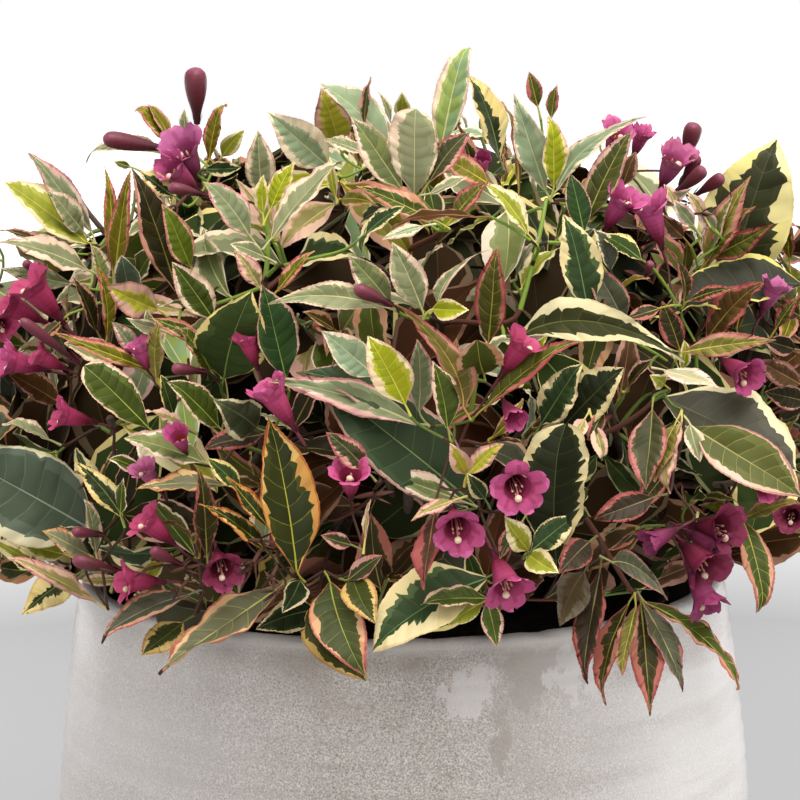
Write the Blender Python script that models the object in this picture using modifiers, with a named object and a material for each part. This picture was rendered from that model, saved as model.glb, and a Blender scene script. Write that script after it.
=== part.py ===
"""Potted weigela: a low, full, rounded shrub in a stone-coloured planter.

Frame: metres, +Z up, origin at the centre of the planter's flat underside.
-Y is the front, +X the right-hand side seen from the front.

Pieces
  planter            turned shell with a rounded belly and a flat underside
  nursery_pot        thin black growing pot standing on the planter's floor
  potting_soil       the root ball that fills the growing pot
  stem               short woody stump with its root flare, cut flat at the soil
  bough_*            one tapering limb for each mass of the crown
  foliage_*          the masses of leaf, parted by planes half way to each neighbour
  overhang_*         thin masses that hang over the rim, outside the planter
"""

import math

import bmesh
import bpy
from mathutils import Matrix, Vector, noise
from mathutils.bvhtree import BVHTree

# ---------------------------------------------------------------- dimensions
PLANTER_HEIGHT = 0.300
RIM_RADIUS = 0.168
BELLY_RADIUS = 0.182
BELLY_HEIGHT = 0.165
FOOT_RADIUS = 0.122
FOOT_ROUND = 0.006
WALL = 0.013
FLOOR = 0.016
TURN_STEPS = 44

NURSERY_RIM_HEIGHT = 0.290
NURSERY_RIM_RADIUS = 0.140
NURSERY_FOOT_RADIUS = 0.103
NURSERY_WALL = 0.0020
NURSERY_LIP = 0.0035

SOIL_HEIGHT = 0.278

STUMP_RADIUS = 0.0155
STUMP_FLARE = 0.0300
STUMP_HEIGHT = 0.024
STUMP_LEAN = 0.10
STUMP_LEVELS = (0.0, 0.09, 0.22, 0.45, 0.68, 0.86, 0.97)

BOUGH_FOOT = 0.0052
BOUGH_TIP = 0.0026
TWIST = 18.0

CROWN_FLOOR = PLANTER_HEIGHT + 0.0035
GAP = 0.0003
MASS_GAP = 0.0024
HOLLOW = 0.052
MASS_WEIGHT = 0.070
OVERHANG_WEIGHT = 0.047

# ------------------------------------------------------------------- colours
COLOURS = {
    "planter": ((0.50, 0.46, 0.43), 0.85, 0.0),
    "nursery_pot": ((0.012, 0.012, 0.013), 0.45, 0.0),
    "potting_soil": ((0.030, 0.020, 0.014), 0.95, 0.0),
    "wood": ((0.17, 0.105, 0.07), 0.85, 0.0),
    "leaf": ((0.14, 0.20, 0.09), 0.55, 0.0),
}

# ------------------------------------------------------- the masses of foliage
# name: (azimuth in degrees from the front towards the right, distance from the
# axis, height of the middle), half sizes (outwards, sideways, upwards), and the
# shoots that stand furthest out of it, as (x, y, z) of each tip
MASSES = {
    "crown_top": ((0, 0.004, 0.466), (0.092, 0.092, 0.084),
                  [(0.041, 0.000, 0.575), (-0.020, -0.010, 0.557), (0.066, 0.010, 0.559)]),
    "crown_left": ((-98, 0.118, 0.455), (0.084, 0.100, 0.082),
                   [(-0.102, -0.050, 0.562), (-0.152, -0.045, 0.530), (-0.066, 0.000, 0.541)]),
    "crown_right": ((97, 0.120, 0.455), (0.084, 0.100, 0.082),
                    [(0.147, -0.005, 0.537), (0.101, 0.000, 0.545), (0.150, 0.050, 0.522)]),
    "crown_front": ((2, 0.104, 0.435), (0.086, 0.094, 0.084),
                    [(-0.060, -0.155, 0.500), (0.055, -0.165, 0.495)]),
    "crown_back": ((178, 0.112, 0.440), (0.084, 0.098, 0.086),
                   [(0.030, 0.140, 0.538), (-0.060, 0.165, 0.510)]),
    "shoulder_left": ((-88, 0.190, 0.392), (0.066, 0.122, 0.106),
                      [(-0.214, -0.020, 0.505), (-0.256, -0.030, 0.430), (-0.250, 0.050, 0.465)]),
    "shoulder_right": ((88, 0.190, 0.392), (0.066, 0.122, 0.106),
                       [(0.200, 0.020, 0.525), (0.257, -0.020, 0.440), (0.246, 0.070, 0.470)]),
    "front_left": ((-41, 0.178, 0.374), (0.068, 0.098, 0.096),
                   [(-0.175, -0.190, 0.380), (-0.090, -0.228, 0.345)]),
    "front_middle": ((1, 0.174, 0.360), (0.066, 0.090, 0.088),
                     [(0.010, -0.244, 0.365), (-0.045, -0.237, 0.395)]),
    "front_right": ((43, 0.178, 0.374), (0.068, 0.098, 0.096),
                    [(0.168, -0.192, 0.395), (0.090, -0.229, 0.360)]),
    "back_left": ((-138, 0.176, 0.378), (0.070, 0.100, 0.098),
                  [(-0.182, 0.178, 0.400), (-0.120, 0.205, 0.450)]),
    "back_middle": ((180, 0.172, 0.366), (0.068, 0.094, 0.092),
                    [(0.000, 0.240, 0.385), (0.050, 0.228, 0.430)]),
    "back_right": ((138, 0.176, 0.378), (0.070, 0.100, 0.098),
                   [(0.185, 0.172, 0.410), (0.110, 0.215, 0.445)]),
}

# thin masses that hang outside the rim: azimuth, half width, top, bottom, thickness
OVERHANGS = {
    "front_left": (-33, 0.066, 0.352, 0.272, 0.026),
    "front_right": (38, 0.062, 0.352, 0.262, 0.026),
    "right": (84, 0.060, 0.348, 0.276, 0.030),
    "left": (-86, 0.060, 0.348, 0.276, 0.030),
    "back_left": (-146, 0.062, 0.346, 0.272, 0.028),
    "back_right": (146, 0.062, 0.346, 0.272, 0.028),
}


def polar(azimuth, distance, z):
    """A point by its azimuth from the front towards the right."""
    a = math.radians(azimuth)
    return Vector((distance * math.sin(a), -distance * math.cos(a), z))


# ------------------------------------------------------------------ plumbing
for old in list(bpy.data.objects):
    bpy.data.objects.remove(old, do_unlink=True)

collection = bpy.data.collections.new("potted_weigela")
bpy.context.scene.collection.children.link(collection)


def material(name, kind):
    colour, roughness, metallic = COLOURS[kind]
    mat = bpy.data.materials.new(name)
    mat.use_nodes = True
    shader = mat.node_tree.nodes["Principled BSDF"]
    shader.inputs["Base Color"].default_value = (*colour, 1.0)
    shader.inputs["Roughness"].default_value = roughness
    shader.inputs["Metallic"].default_value = metallic
    return mat


def new_object(name, data, kind):
    obj = bpy.data.objects.new(name, data)
    obj.data.materials.append(material(name + "_finish", kind))
    collection.objects.link(obj)
    return obj


def mesh_object(name, bm, kind, smooth=False):
    bmesh.ops.recalc_face_normals(bm, faces=bm.faces)
    mesh = bpy.data.meshes.new(name)
    bm.to_mesh(mesh)
    bm.free()
    if smooth:
        mesh.shade_smooth()
        mesh.set_sharp_from_angle(angle=math.radians(40))
    return new_object(name, mesh, kind)


def turned(name, profile, kind, steps=TURN_STEPS):
    """A closed shape turned about Z from its half section."""
    bm = bmesh.new()
    verts = [bm.verts.new((r, 0.0, z)) for r, z in profile]
    for a, b in zip(verts, verts[1:]):
        bm.edges.new((a, b))
    mesh = bpy.data.meshes.new(name)
    bm.to_mesh(mesh)
    bm.free()
    obj = new_object(name, mesh, kind)
    screw = obj.modifiers.new("turn", "SCREW")
    screw.axis = "Z"
    screw.angle = math.tau
    screw.steps = steps
    screw.render_steps = steps
    screw.use_merge_vertices = True
    screw.merge_threshold = 0.0001
    screw.use_smooth_shade = True
    return obj


# ------------------------------------------------------------------- planter
def planter_radius(z):
    """The outer side: straight-shouldered above the belly, rounded below it."""
    if z >= BELLY_HEIGHT:
        s = (z - BELLY_HEIGHT) / (PLANTER_HEIGHT - BELLY_HEIGHT)
        return BELLY_RADIUS - (BELLY_RADIUS - RIM_RADIUS) * s ** 1.5
    t = z / BELLY_HEIGHT
    return FOOT_RADIUS + (BELLY_RADIUS - FOOT_RADIUS) * (1.0 - (1.0 - t) ** 2.1) ** 0.95


def planter_profile():
    points = [(0.0, FLOOR)]
    inner = [FLOOR + 0.004, 0.045, 0.090, BELLY_HEIGHT, 0.235, PLANTER_HEIGHT - 0.006]
    points.append((planter_radius(FLOOR) - WALL - 0.006, FLOOR))
    points += [(planter_radius(z) - WALL, z) for z in inner]
    lip = WALL / 2
    middle = RIM_RADIUS - lip
    for k in (1, 2, 3):
        a = math.pi * (1.0 - k / 4)
        points.append((middle + lip * math.cos(a), PLANTER_HEIGHT - lip + lip * math.sin(a)))
    outer = [PLANTER_HEIGHT - 0.008, 0.275, 0.240, 0.200, BELLY_HEIGHT, 0.130, 0.095, 0.062, 0.034]
    points += [(planter_radius(z), z) for z in outer]
    points.append((planter_radius(FOOT_ROUND) - 0.0005, FOOT_ROUND))
    points.append((FOOT_RADIUS - FOOT_ROUND * 0.6, 0.0))
    points.append((0.0, 0.0))
    return points


turned("planter", planter_profile(), "planter")


# ------------------------------------------- growing pot and its root ball
def nursery_radius(z):
    foot = FLOOR + GAP
    s = (z - foot) / (NURSERY_RIM_HEIGHT - foot)
    return NURSERY_FOOT_RADIUS + (NURSERY_RIM_RADIUS - NURSERY_LIP - NURSERY_FOOT_RADIUS) * s


foot = FLOOR + GAP
turned(
    "nursery_pot",
    [
        (0.0, foot + NURSERY_WALL),
        (nursery_radius(foot) - NURSERY_WALL, foot + NURSERY_WALL),
        (nursery_radius(NURSERY_RIM_HEIGHT - 0.002) - NURSERY_WALL, NURSERY_RIM_HEIGHT - 0.002),
        (nursery_radius(NURSERY_RIM_HEIGHT), NURSERY_RIM_HEIGHT),
        (NURSERY_RIM_RADIUS - 0.001, NURSERY_RIM_HEIGHT),
        (NURSERY_RIM_RADIUS, NURSERY_RIM_HEIGHT - 0.002),
        (NURSERY_RIM_RADIUS, NURSERY_RIM_HEIGHT - 0.014),
        (nursery_radius(NURSERY_RIM_HEIGHT - 0.016), NURSERY_RIM_HEIGHT - 0.016),
        (nursery_radius(foot), foot),
        (0.0, foot),
    ],
    "nursery_pot",
    steps=32,
)

soil_foot = foot + NURSERY_WALL + GAP
soil_slack = NURSERY_WALL + 2 * GAP
turned(
    "potting_soil",
    [
        (0.0, SOIL_HEIGHT),
        (nursery_radius(SOIL_HEIGHT) - soil_slack, SOIL_HEIGHT),
        (nursery_radius(soil_foot) - soil_slack, soil_foot),
        (0.0, soil_foot),
    ],
    "potting_soil",
    steps=32,
)


# ---------------------------------------------------------------------- stem
def stump_section(t):
    """Radius of the stump at t from the soil (0) to its crown of buds (1)."""
    flare = (STUMP_FLARE - STUMP_RADIUS) * math.exp(-t / 0.16)
    shoulder = STUMP_RADIUS * (1.0 + 0.12 * math.sin(math.pi * t))
    dome = 1.0 if t < 0.62 else math.sqrt(max(0.0, 1.0 - ((t - 0.62) / 0.40) ** 2))
    return (shoulder + flare) * dome


def stump_centre(t):
    z = SOIL_HEIGHT + GAP + t * STUMP_HEIGHT
    return Vector((STUMP_LEAN * t * STUMP_HEIGHT, -0.3 * STUMP_LEAN * t * STUMP_HEIGHT, z))


def stump():
    sides, levels = 16, STUMP_LEVELS
    bm = bmesh.new()
    bmesh.ops.create_cone(bm, cap_ends=False, segments=sides, radius1=1.0, radius2=1.0, depth=1.0)
    edges = [e for e in bm.edges if abs(e.verts[0].co.z - e.verts[1].co.z) > 0.5]
    bmesh.ops.subdivide_edges(bm, edges=edges, cuts=len(levels) - 2, use_grid_fill=True)
    rows = sorted({round(v.co.z, 4) for v in bm.verts})
    for v in bm.verts:
        t = levels[rows.index(round(v.co.z, 4))]
        a = math.atan2(v.co.y, v.co.x)
        # five surface roots lift the flare into ridges that fade up the stump
        ridge = 1.0 + 0.20 * math.cos(5 * a + 0.6) * math.exp(-t / 0.22) + 0.04 * math.cos(3 * a)
        r = stump_section(t) * ridge
        c = stump_centre(t)
        v.co = (c.x + r * math.cos(a), c.y + r * math.sin(a), c.z)
    ends = [e for e in bm.edges if e.is_boundary]
    bmesh.ops.holes_fill(bm, edges=ends, sides=0)
    bmesh.ops.triangulate(bm, faces=[f for f in bm.faces if len(f.verts) > 4])
    return mesh_object("stem", bm, "wood", smooth=True)


stem = stump()


# ------------------------------------------------------- the masses of leaves
def unevenness(direction, seed):
    """A smooth, seeded swelling and pinching of a mass, about +-1."""
    p = direction * 1.7 + Vector((seed * 7.31, seed * 3.17, seed * 5.53))
    q = direction * 4.1 + Vector((seed * 2.71, seed * 9.13, seed * 1.37))
    return noise.noise(p) * 1.1 + noise.noise(q) * 0.55


class Cell:
    """One mass: where its middle is, its half sizes, its tips and its walls."""

    def __init__(self, name, centre, out, radii, weight, tips, walls):
        self.name = name
        self.centre = centre
        self.out = out
        self.side = Vector((0, 0, 1)).cross(out)
        self.radii = radii
        self.weight = weight
        self.tips = [Vector(t) for t in tips]
        self.walls = walls

    def reach(self, d):
        a, b, c = self.radii
        x, y, z = d.dot(self.out), d.dot(self.side), d.z
        return 1.0 / math.sqrt((x / a) ** 2 + (y / b) ** 2 + (z / c) ** 2)


def crown_cell(name):
    (azimuth, distance, z), radii, tips = MASSES[name]
    centre = polar(azimuth, distance, z)
    out = polar(azimuth, 1.0, 0.0)
    walls = [(Vector((0, 0, -1)), z - CROWN_FLOOR)]
    # the open middle, where the boughs run
    if distance > 0.05:
        walls.append((-out, distance - HOLLOW))
    else:
        walls.append((Vector((0, 0, -1)), z - 0.412))
    return Cell("foliage_" + name, centre, out, radii, MASS_WEIGHT, tips, walls)


def overhang_cell(name):
    azimuth, half_width, top, bottom, thickness = OVERHANGS[name]
    out = polar(azimuth, 1.0, 0.0)
    near = max(planter_radius(bottom), RIM_RADIUS) + 0.0025
    z = (top + bottom) / 2
    inner = thickness * 0.35
    centre = out * (near + inner) + Vector((0, 0, z))
    walls = [(-out, inner), (Vector((0, 0, 1)), top - z), (Vector((0, 0, -1)), z - bottom)]
    half = (thickness, half_width, (top - bottom) * 0.62)
    return Cell("overhang_" + name, centre, out, half, OVERHANG_WEIGHT, [], walls)


cells = [crown_cell(name) for name in MASSES] + [overhang_cell(name) for name in OVERHANGS]


def parting_walls(cell):
    """Planes (normal, offset) between it and every neighbour, weighed by size."""
    walls = list(cell.walls)
    for other in cells:
        if other is cell:
            continue
        line = other.centre - cell.centre
        d = line.length
        at = (d * d + cell.weight ** 2 - other.weight ** 2) / (2 * d)
        walls.append((line / d, at - MASS_GAP / 2))
    return walls


def foliage(cell, seed):
    walls = parting_walls(cell)
    bm = bmesh.new()
    bmesh.ops.create_icosphere(bm, subdivisions=3, radius=1.0)
    for v in bm.verts:
        d = v.co.normalized()
        reach = cell.reach(d) * (1.0 + 0.19 * unevenness(d, seed))
        for tip in cell.tips:
            toward = tip - cell.centre
            angle = math.degrees(d.angle(toward))
            lobe = math.exp(-((angle / 13.0) ** 2))
            reach = max(reach, reach + (toward.length - reach) * lobe)
        v.co = d * reach
    # the vertex nearest each shoot carries its tip exactly
    for tip in cell.tips:
        toward = tip - cell.centre
        nearest = max(bm.verts, key=lambda v: v.co.normalized().dot(toward.normalized()))
        nearest.co = toward.copy()
    for v in bm.verts:
        d = v.co.normalized()
        reach = v.co.length
        for normal, offset in walls:
            facing = d.dot(normal)
            if facing * reach > offset:
                reach = offset / facing
        v.co = cell.centre + d * reach
    return mesh_object(cell.name, bm, "leaf")


masses = [foliage(cell, k + 1) for k, cell in enumerate(cells)]


# -------------------------------------------------------------------- boughs
def bezier(a, b, c, d, t):
    s = 1.0 - t
    return a * s ** 3 + b * (3 * s * s * t) + c * (3 * s * t * t) + d * t ** 3


def tree_of(obj):
    bm = bmesh.new()
    bm.from_mesh(obj.data)
    tree = BVHTree.FromBMesh(bm)
    bm.free()
    return tree


def bough(cell, mass):
    """A limb from the stump, out and up to where it meets its mass."""
    flat = Vector((cell.centre.x, cell.centre.y, 0.0))
    azimuth = math.degrees(math.atan2(flat.x, -flat.y))
    if flat.length > 0.14:
        # one of the outer limbs, springing from the side of the stump
        t_foot, rise, pull = 0.45, 0.38, 0.34
        foot_out = polar(azimuth, 1.0, 0.0)
    else:
        # an inner limb, set higher and turned into the space between outer ones
        t_foot, rise, pull = 0.80, 1.25, 0.40
        foot_out = polar(azimuth + (TWIST if azimuth >= 0 else -TWIST), 1.0, 0.0)
    if flat.length > 0.02:
        aim = (foot_out + Vector((0, 0, rise))).normalized()
        start = stump_centre(t_foot) + foot_out * (stump_section(t_foot) * 1.05 + 0.0022)
    else:
        aim = Vector((0.0, 0.0, 1.0))
        start = stump_centre(STUMP_LEVELS[-1]) + Vector((0, 0, 0.0008))
    hit_tree = tree_of(mass)
    end = cell.centre
    length = (end - start).length
    bend = start + aim * length * pull
    back = end - (end - bend).normalized() * length * 0.30
    path = [bezier(start, bend, back, end, k / 60) for k in range(61)]
    # stop just short of the mass
    kept = [path[0]]
    for a, b in zip(path, path[1:]):
        hit = hit_tree.ray_cast(a, (b - a).normalized(), (b - a).length + 0.0)
        if hit[0] is not None:
            break
        kept.append(b)
    kept = kept[:-1]
    steps = 7
    curve = bpy.data.curves.new("bough_" + cell.name.split("_", 1)[1], "CURVE")
    curve.dimensions = "3D"
    curve.bevel_depth = 1.0
    curve.bevel_resolution = 1
    curve.use_fill_caps = True
    spline = curve.splines.new("POLY")
    spline.points.add(steps)
    for k in range(steps + 1):
        p = kept[round(k * (len(kept) - 1) / steps)]
        spline.points[k].co = (*p, 1.0)
        spline.points[k].radius = BOUGH_FOOT + (BOUGH_TIP - BOUGH_FOOT) * (k / steps) ** 0.8
    return new_object(curve.name, curve, "wood")


for cell, mass in zip(cells, masses):
    if cell.name.startswith("foliage_"):
        bough(cell, mass)
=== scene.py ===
"""Looks of the potted weigela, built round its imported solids.

Metres, +Z up, -Y the front. Each mass of foliage is replaced by twigs that grow
on from its bough, with leaves in opposite pairs, flowers and buds.
"""

import math

import bmesh
import bpy
import numpy as np
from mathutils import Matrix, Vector, noise
from mathutils.bvhtree import BVHTree


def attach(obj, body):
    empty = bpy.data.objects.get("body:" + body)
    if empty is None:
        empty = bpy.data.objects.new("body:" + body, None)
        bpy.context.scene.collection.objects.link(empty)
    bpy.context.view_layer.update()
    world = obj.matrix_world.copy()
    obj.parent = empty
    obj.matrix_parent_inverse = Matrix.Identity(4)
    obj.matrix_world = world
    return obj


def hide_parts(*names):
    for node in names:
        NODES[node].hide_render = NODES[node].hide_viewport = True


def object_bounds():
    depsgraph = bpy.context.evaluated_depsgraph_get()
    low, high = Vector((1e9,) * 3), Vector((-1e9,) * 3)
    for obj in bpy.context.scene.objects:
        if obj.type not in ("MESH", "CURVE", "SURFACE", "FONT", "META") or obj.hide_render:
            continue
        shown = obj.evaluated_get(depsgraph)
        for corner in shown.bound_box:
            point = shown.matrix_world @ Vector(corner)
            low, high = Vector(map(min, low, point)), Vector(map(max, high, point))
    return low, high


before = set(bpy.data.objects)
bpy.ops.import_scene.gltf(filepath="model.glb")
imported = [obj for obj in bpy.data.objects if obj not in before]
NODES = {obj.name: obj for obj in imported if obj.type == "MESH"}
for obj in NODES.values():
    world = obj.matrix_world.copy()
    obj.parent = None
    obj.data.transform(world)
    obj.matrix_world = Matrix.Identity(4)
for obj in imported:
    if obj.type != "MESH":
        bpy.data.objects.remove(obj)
CAD_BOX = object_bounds()
SEED = 7
rng = np.random.default_rng(SEED)

# ------------------------------------------------------------------- the view
VIEW_DISTANCE = 1.25
VIEW_HEIGHT = 0.5547
PITCH = math.radians(7.53)
ROLL = math.radians(0.6)
LENS = 108.8
PIXELS = 800.0
FOCAL = LENS / 36.0 * PIXELS

EYE = np.array([0.0, -VIEW_DISTANCE, VIEW_HEIGHT])
_r, _u = np.array([1.0, 0.0, 0.0]), np.array([0.0, math.sin(PITCH), math.cos(PITCH)])
FORWARD = np.array([0.0, math.cos(PITCH), -math.sin(PITCH)])
RIGHT = _r * math.cos(ROLL) - _u * math.sin(ROLL)
UP = _u * math.cos(ROLL) + _r * math.sin(ROLL)

camera_data = bpy.data.cameras.new("camera")
camera_data.lens = LENS
camera_data.sensor_width = 36.0
camera_data.clip_start = 0.05
camera_data.clip_end = 60.0
camera = bpy.data.objects.new("camera", camera_data)
bpy.context.scene.collection.objects.link(camera)
from mathutils import Matrix

camera.matrix_world = Matrix(
    (
        (RIGHT[0], UP[0], -FORWARD[0], EYE[0]),
        (RIGHT[1], UP[1], -FORWARD[1], EYE[1]),
        (RIGHT[2], UP[2], -FORWARD[2], EYE[2]),
        (0.0, 0.0, 0.0, 1.0),
    )
)
bpy.context.scene.camera = camera
bpy.context.scene.view_settings.view_transform = "Standard"
bpy.context.scene.view_settings.look = "None"


def sight(px, py):
    """Direction from the eye through a point of the 800 x 800 frame."""
    d = FORWARD + RIGHT * ((px - 400.0) / FOCAL) - UP * ((py - 400.0) / FOCAL)
    return d / np.linalg.norm(d)


def in_view(p):
    """Where a point falls in the frame, and how far off it is."""
    d = np.asarray(p) - EYE
    depth = d @ FORWARD
    return 400.0 + FOCAL * (d @ RIGHT) / depth, 400.0 - FOCAL * (d @ UP) / depth, depth


# -------------------------------------------------------------- small helpers
def unit(v):
    v = np.asarray(v, float)
    n = np.linalg.norm(v)
    return v / n if n > 1e-12 else np.array([0.0, 0.0, 1.0])


def smooth(a, b, x):
    t = np.clip((x - a) / (b - a), 0.0, 1.0)
    return t * t * (3 - 2 * t)


def linear(code):
    """A colour written as rrggbb, in linear light."""
    c = np.array([int(code[i : i + 2], 16) for i in (0, 2, 4)]) / 255.0
    return np.where(c <= 0.04045, c / 12.92, ((c + 0.055) / 1.055) ** 2.4)


def about(axis, angle):
    """Rotation matrix about an axis."""
    x, y, z = unit(axis)
    c, s = math.cos(angle), math.sin(angle)
    return np.array(
        [
            [c + x * x * (1 - c), x * y * (1 - c) - z * s, x * z * (1 - c) + y * s],
            [y * x * (1 - c) + z * s, c + y * y * (1 - c), y * z * (1 - c) - x * s],
            [z * x * (1 - c) - y * s, z * y * (1 - c) + x * s, c + z * z * (1 - c)],
        ]
    )


class Pile:
    """Many small meshes joined into one, with a finish for each face."""

    def __init__(self, name):
        self.name = name
        self.verts, self.faces, self.mats = [], [], []
        self.count = 0
        self.tris = 0

    def add(self, verts, faces, mats):
        """faces: an (n, 3) or (n, 4) array; mats: one finish for each."""
        verts = np.asarray(verts, np.float32)
        faces = np.asarray(faces, np.int64)
        self.verts.append(verts)
        self.faces.append(faces + self.count)
        self.mats.append(np.broadcast_to(np.asarray(mats, np.int32), (len(faces),)))
        self.count += len(verts)
        self.tris += len(faces) * (faces.shape[1] - 2)

    def build(self):
        co = np.concatenate(self.verts)
        sizes = np.concatenate([np.full(len(f), f.shape[1], np.int32) for f in self.faces])
        loops = np.concatenate([f.ravel() for f in self.faces]).astype(np.int32)
        mats = np.concatenate(self.mats)
        used = np.unique(mats)
        remap = np.zeros(used.max() + 1, np.int32)
        remap[used] = np.arange(len(used))
        mesh = bpy.data.meshes.new(self.name)
        mesh.vertices.add(len(co))
        mesh.vertices.foreach_set("co", co.ravel())
        mesh.loops.add(len(loops))
        mesh.loops.foreach_set("vertex_index", loops)
        mesh.polygons.add(len(sizes))
        starts = np.concatenate([[0], np.cumsum(sizes)[:-1]]).astype(np.int32)
        mesh.polygons.foreach_set("loop_start", starts)
        mesh.polygons.foreach_set("loop_total", sizes)
        for k in used:
            mesh.materials.append(FINISHES[k])
        mesh.polygons.foreach_set("material_index", remap[mats])
        mesh.polygons.foreach_set("use_smooth", np.ones(len(sizes), bool))
        mesh.update(calc_edges=True)
        mesh.validate(verbose=False)
        obj = bpy.data.objects.new(self.name, mesh)
        bpy.context.scene.collection.objects.link(obj)
        return obj


# ------------------------------------------------------- plain leaf finishes
FINISHES = []
_by_code = {}


def finish(code, rough=0.5, spec=0.35, label="tint"):
    """A plain finish; the same colour asked for twice is one material."""
    key = (code, rough, spec)
    if key not in _by_code:
        mat = bpy.data.materials.new(f"{label}_{code}")
        mat.use_nodes = True
        shader = mat.node_tree.nodes["Principled BSDF"]
        shader.inputs["Base Color"].default_value = (*linear(code), 1.0)
        shader.inputs["Roughness"].default_value = rough
        shader.inputs["Specular IOR Level"].default_value = spec
        _by_code[key] = len(FINISHES)
        FINISHES.append(mat)
    return _by_code[key]


def blend(a, b, share):
    """A colour between two, as rrggbb."""
    a, b = (np.array([int(c[i : i + 2], 16) for i in (0, 2, 4)]) for c in (a, b))
    return "".join(f"{int(round(v)):02x}" for v in a * (1 - share) + b * share)


def rich(code, margin=False):
    """The same colour as soft daylight leaves it: warm greens, dusty pinks, pale creams."""
    c = np.array([int(code[i : i + 2], 16) for i in (0, 2, 4)], float)
    grey = c @ [0.299, 0.587, 0.114]
    if margin:
        cream = np.clip((c[1] / c[0] - 0.66) / 0.22, 0, 1)
        c = (grey + (c - grey) * 0.95) * (np.array([0.91, 0.965, 0.95]) * (1 - cream) + np.array([0.99, 0.975, 1.05]) * cream)
        c[2] = min(c[2], 0.93 * c[1])
    else:
        dark, darker = np.clip((100 - grey) / 60, 0, 1), np.clip((60 - grey) / 40, 0, 1)
        c = (grey + (c - grey) * 1.12) * [1.10 + 0.12 * darker, 0.968, 0.965 - 0.30 * dark] * (1.0 + 0.035 * np.clip((grey - 70) / 40, 0, 1))
    return "".join(f"{int(round(v)):02x}" for v in np.clip(c, 4, 252))


class Tints:
    """The tones of one kind of leaf, and how its variegation lies."""

    def __init__(self, rib, vein, deep, mid, edge, rim, green=0.72, spread=0.10, rough=0.52, spec=0.20, share=0.80):
        def pair(codes, margin=False):
            codes = codes.split()
            return [finish(rich(c, margin), rough, spec, "leaf") for c in (codes * 2)[:2]]

        self.rib = finish(rich(rib), rough, spec, "leaf")
        dark, light = deep.split()[0], mid.split()[0]
        if not vein:
            # side veins a little paler than the blade
            vein = blend(dark, rib, 0.26)
        self.vein = finish(rich(vein), rough, spec, "leaf")
        mid = " ".join(blend(a, b, 0.7) for a, b in zip(deep.split() * 2, mid.split()))
        self.deep, self.mid, self.edge, self.rim = pair(deep), pair(mid), pair(edge, True), pair(rim, True)
        self.green, self.spread, self.share = green, spread, share


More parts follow.
